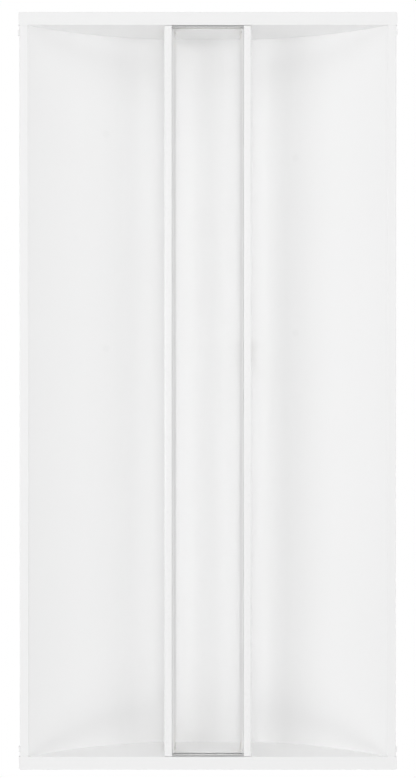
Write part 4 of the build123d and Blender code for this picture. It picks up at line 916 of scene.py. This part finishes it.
class TROFFER_OT_stage(bpy.types.Operator):
    """Build the room's pale floor, the soft light, the white surroundings and the camera"""

    bl_idname = "troffer.stage"
    bl_label = "Stage"

    def execute(self, context):
        stage = context.scene.troffer_stage
        self.make_floor(context, stage)
        self.make_world(context, stage)
        for name, place, width, share, mirrored in LAMPS:
            self.make_lamp(context, name, place, width, share * stage.lamp_power, mirrored)
        self.make_camera(context, stage)
        context.scene.view_settings.view_transform = "Standard"
        return {"FINISHED"}

    def make_floor(self, context, stage):
        """A plain pale floor, far below like the floor of a room."""
        mesh = bpy.data.meshes.new("room_floor")
        signs = ((-1, -1), (1, -1), (1, 1), (-1, 1))
        corners = [(x * FLOOR_HALF, y * FLOOR_HALF, stage.floor_height) for x, y in signs]
        mesh.from_pydata(corners, [], [(0, 1, 2, 3)])
        paint = new_material("pale_floor", self.floor_surface)
        put_in_scene(context, "room_floor", mesh, paint)

    @staticmethod
    def floor_surface(tree):
        """Even pale paint. Only the camera, gloss and glass see its glow, and see it white."""
        glow = {0: seen_directly(tree), 1: FLOOR_GLOW}
        glow = add(tree, "ShaderNodeMath", glow, operation="MULTIPLY").outputs[0]
        return add(
            tree,
            "ShaderNodeBsdfPrincipled",
            {
                "Base Color": bpy.context.scene.troffer_stage.floor_colour,
                "Roughness": 0.9,
                "Emission Color": WHITE,
                "Emission Strength": glow,
            },
        )

    def make_world(self, context, stage):
        """White to the eye, in gloss and through the panel, and an even soft light otherwise."""
        world = bpy.data.worlds.new("white_room")
        world.use_nodes = True
        tree = world.node_tree
        tree.nodes.clear()
        light = {"Value": seen_directly(tree), "To Min": stage.ambient, "To Max": 1.0}
        light = add(tree, "ShaderNodeMapRange", light).outputs[0]
        sky = add(tree, "ShaderNodeBackground", {"Color": WHITE, "Strength": light})
        add(tree, "ShaderNodeOutputWorld", {"Surface": sky.outputs[0]})
        context.scene.world = world

    def make_lamp(self, context, name, place, width, power, mirrored):
        """A square lamp turned towards the light. The panel never shows its image, gloss may."""
        lamp = bpy.data.lights.new(name, "AREA")
        lamp.shape = "SQUARE"
        lamp.size = width
        lamp.energy = power
        holder = bpy.data.objects.new(name, lamp)
        holder.location = place
        holder.rotation_euler = (-Vector(place)).to_track_quat("-Z", "Y").to_euler()
        holder.visible_camera = False
        holder.visible_glossy = mirrored
        holder.visible_transmission = False
        context.scene.collection.objects.link(holder)

    def make_camera(self, context, stage):
        """The photograph's view: straight up from below, head end at the top of the frame."""
        data = bpy.data.cameras.new("room_camera")
        data.lens = stage.focal_length
        data.sensor_width = SENSOR_WIDTH
        data.clip_start = CLIP_START
        data.clip_end = CLIP_END
        holder = bpy.data.objects.new("room_camera", data)
        ahead = (Vector(stage.camera_target) - Vector(stage.camera_place)).normalized()
        right = Vector((0.0, 1.0, 0.0))
        turned = Matrix((right, right.cross(ahead), -ahead)).transposed().to_4x4()
        turned.translation = stage.camera_place
        holder.matrix_world = turned
        context.scene.collection.objects.link(holder)
        context.scene.camera = holder


class TROFFER_PT_panel(bpy.types.Panel):
    """Lists the operators and the sizes and finishes they use"""

    bl_idname = "TROFFER_PT_panel"
    bl_label = "Troffer Light"
    bl_space_type = "VIEW_3D"
    bl_region_type = "UI"
    bl_category = "Troffer"

    def draw(self, context):
        scene = context.scene
        for operator in OPERATORS:
            self.layout.operator(operator.bl_idname)
        for group in (scene.troffer_finishes, scene.troffer_sizes, scene.troffer_stage):
            for name in group.__annotations__:
                self.layout.prop(group, name)


OPERATORS = (
    TROFFER_OT_housing,
    TROFFER_OT_light_bar,
    TROFFER_OT_seals,
    TROFFER_OT_hardware,
    TROFFER_OT_driver_box,
    TROFFER_OT_leads,
    TROFFER_OT_stage,
)
CLASSES = (TrofferFinishes, TrofferSizes, TrofferStage, *OPERATORS, TROFFER_PT_panel)


def register():
    """Registers the classes and puts the three property groups on the scene."""
    for cls in CLASSES:
        bpy.utils.register_class(cls)
    bpy.types.Scene.troffer_finishes = PointerProperty(type=TrofferFinishes)
    bpy.types.Scene.troffer_sizes = PointerProperty(type=TrofferSizes)
    bpy.types.Scene.troffer_stage = PointerProperty(type=TrofferStage)


def unregister():
    """Takes everything off again that register put on."""
    del bpy.types.Scene.troffer_stage
    del bpy.types.Scene.troffer_sizes
    del bpy.types.Scene.troffer_finishes
    for cls in reversed(CLASSES):
        bpy.utils.unregister_class(cls)


def main():
    """Registers the add-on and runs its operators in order."""
    register()
    bpy.ops.troffer.housing()
    bpy.ops.troffer.light_bar()
    bpy.ops.troffer.seals()
    bpy.ops.troffer.hardware()
    bpy.ops.troffer.driver_box()
    bpy.ops.troffer.leads()
    bpy.ops.troffer.stage()


if __name__ == "__main__":
    main()
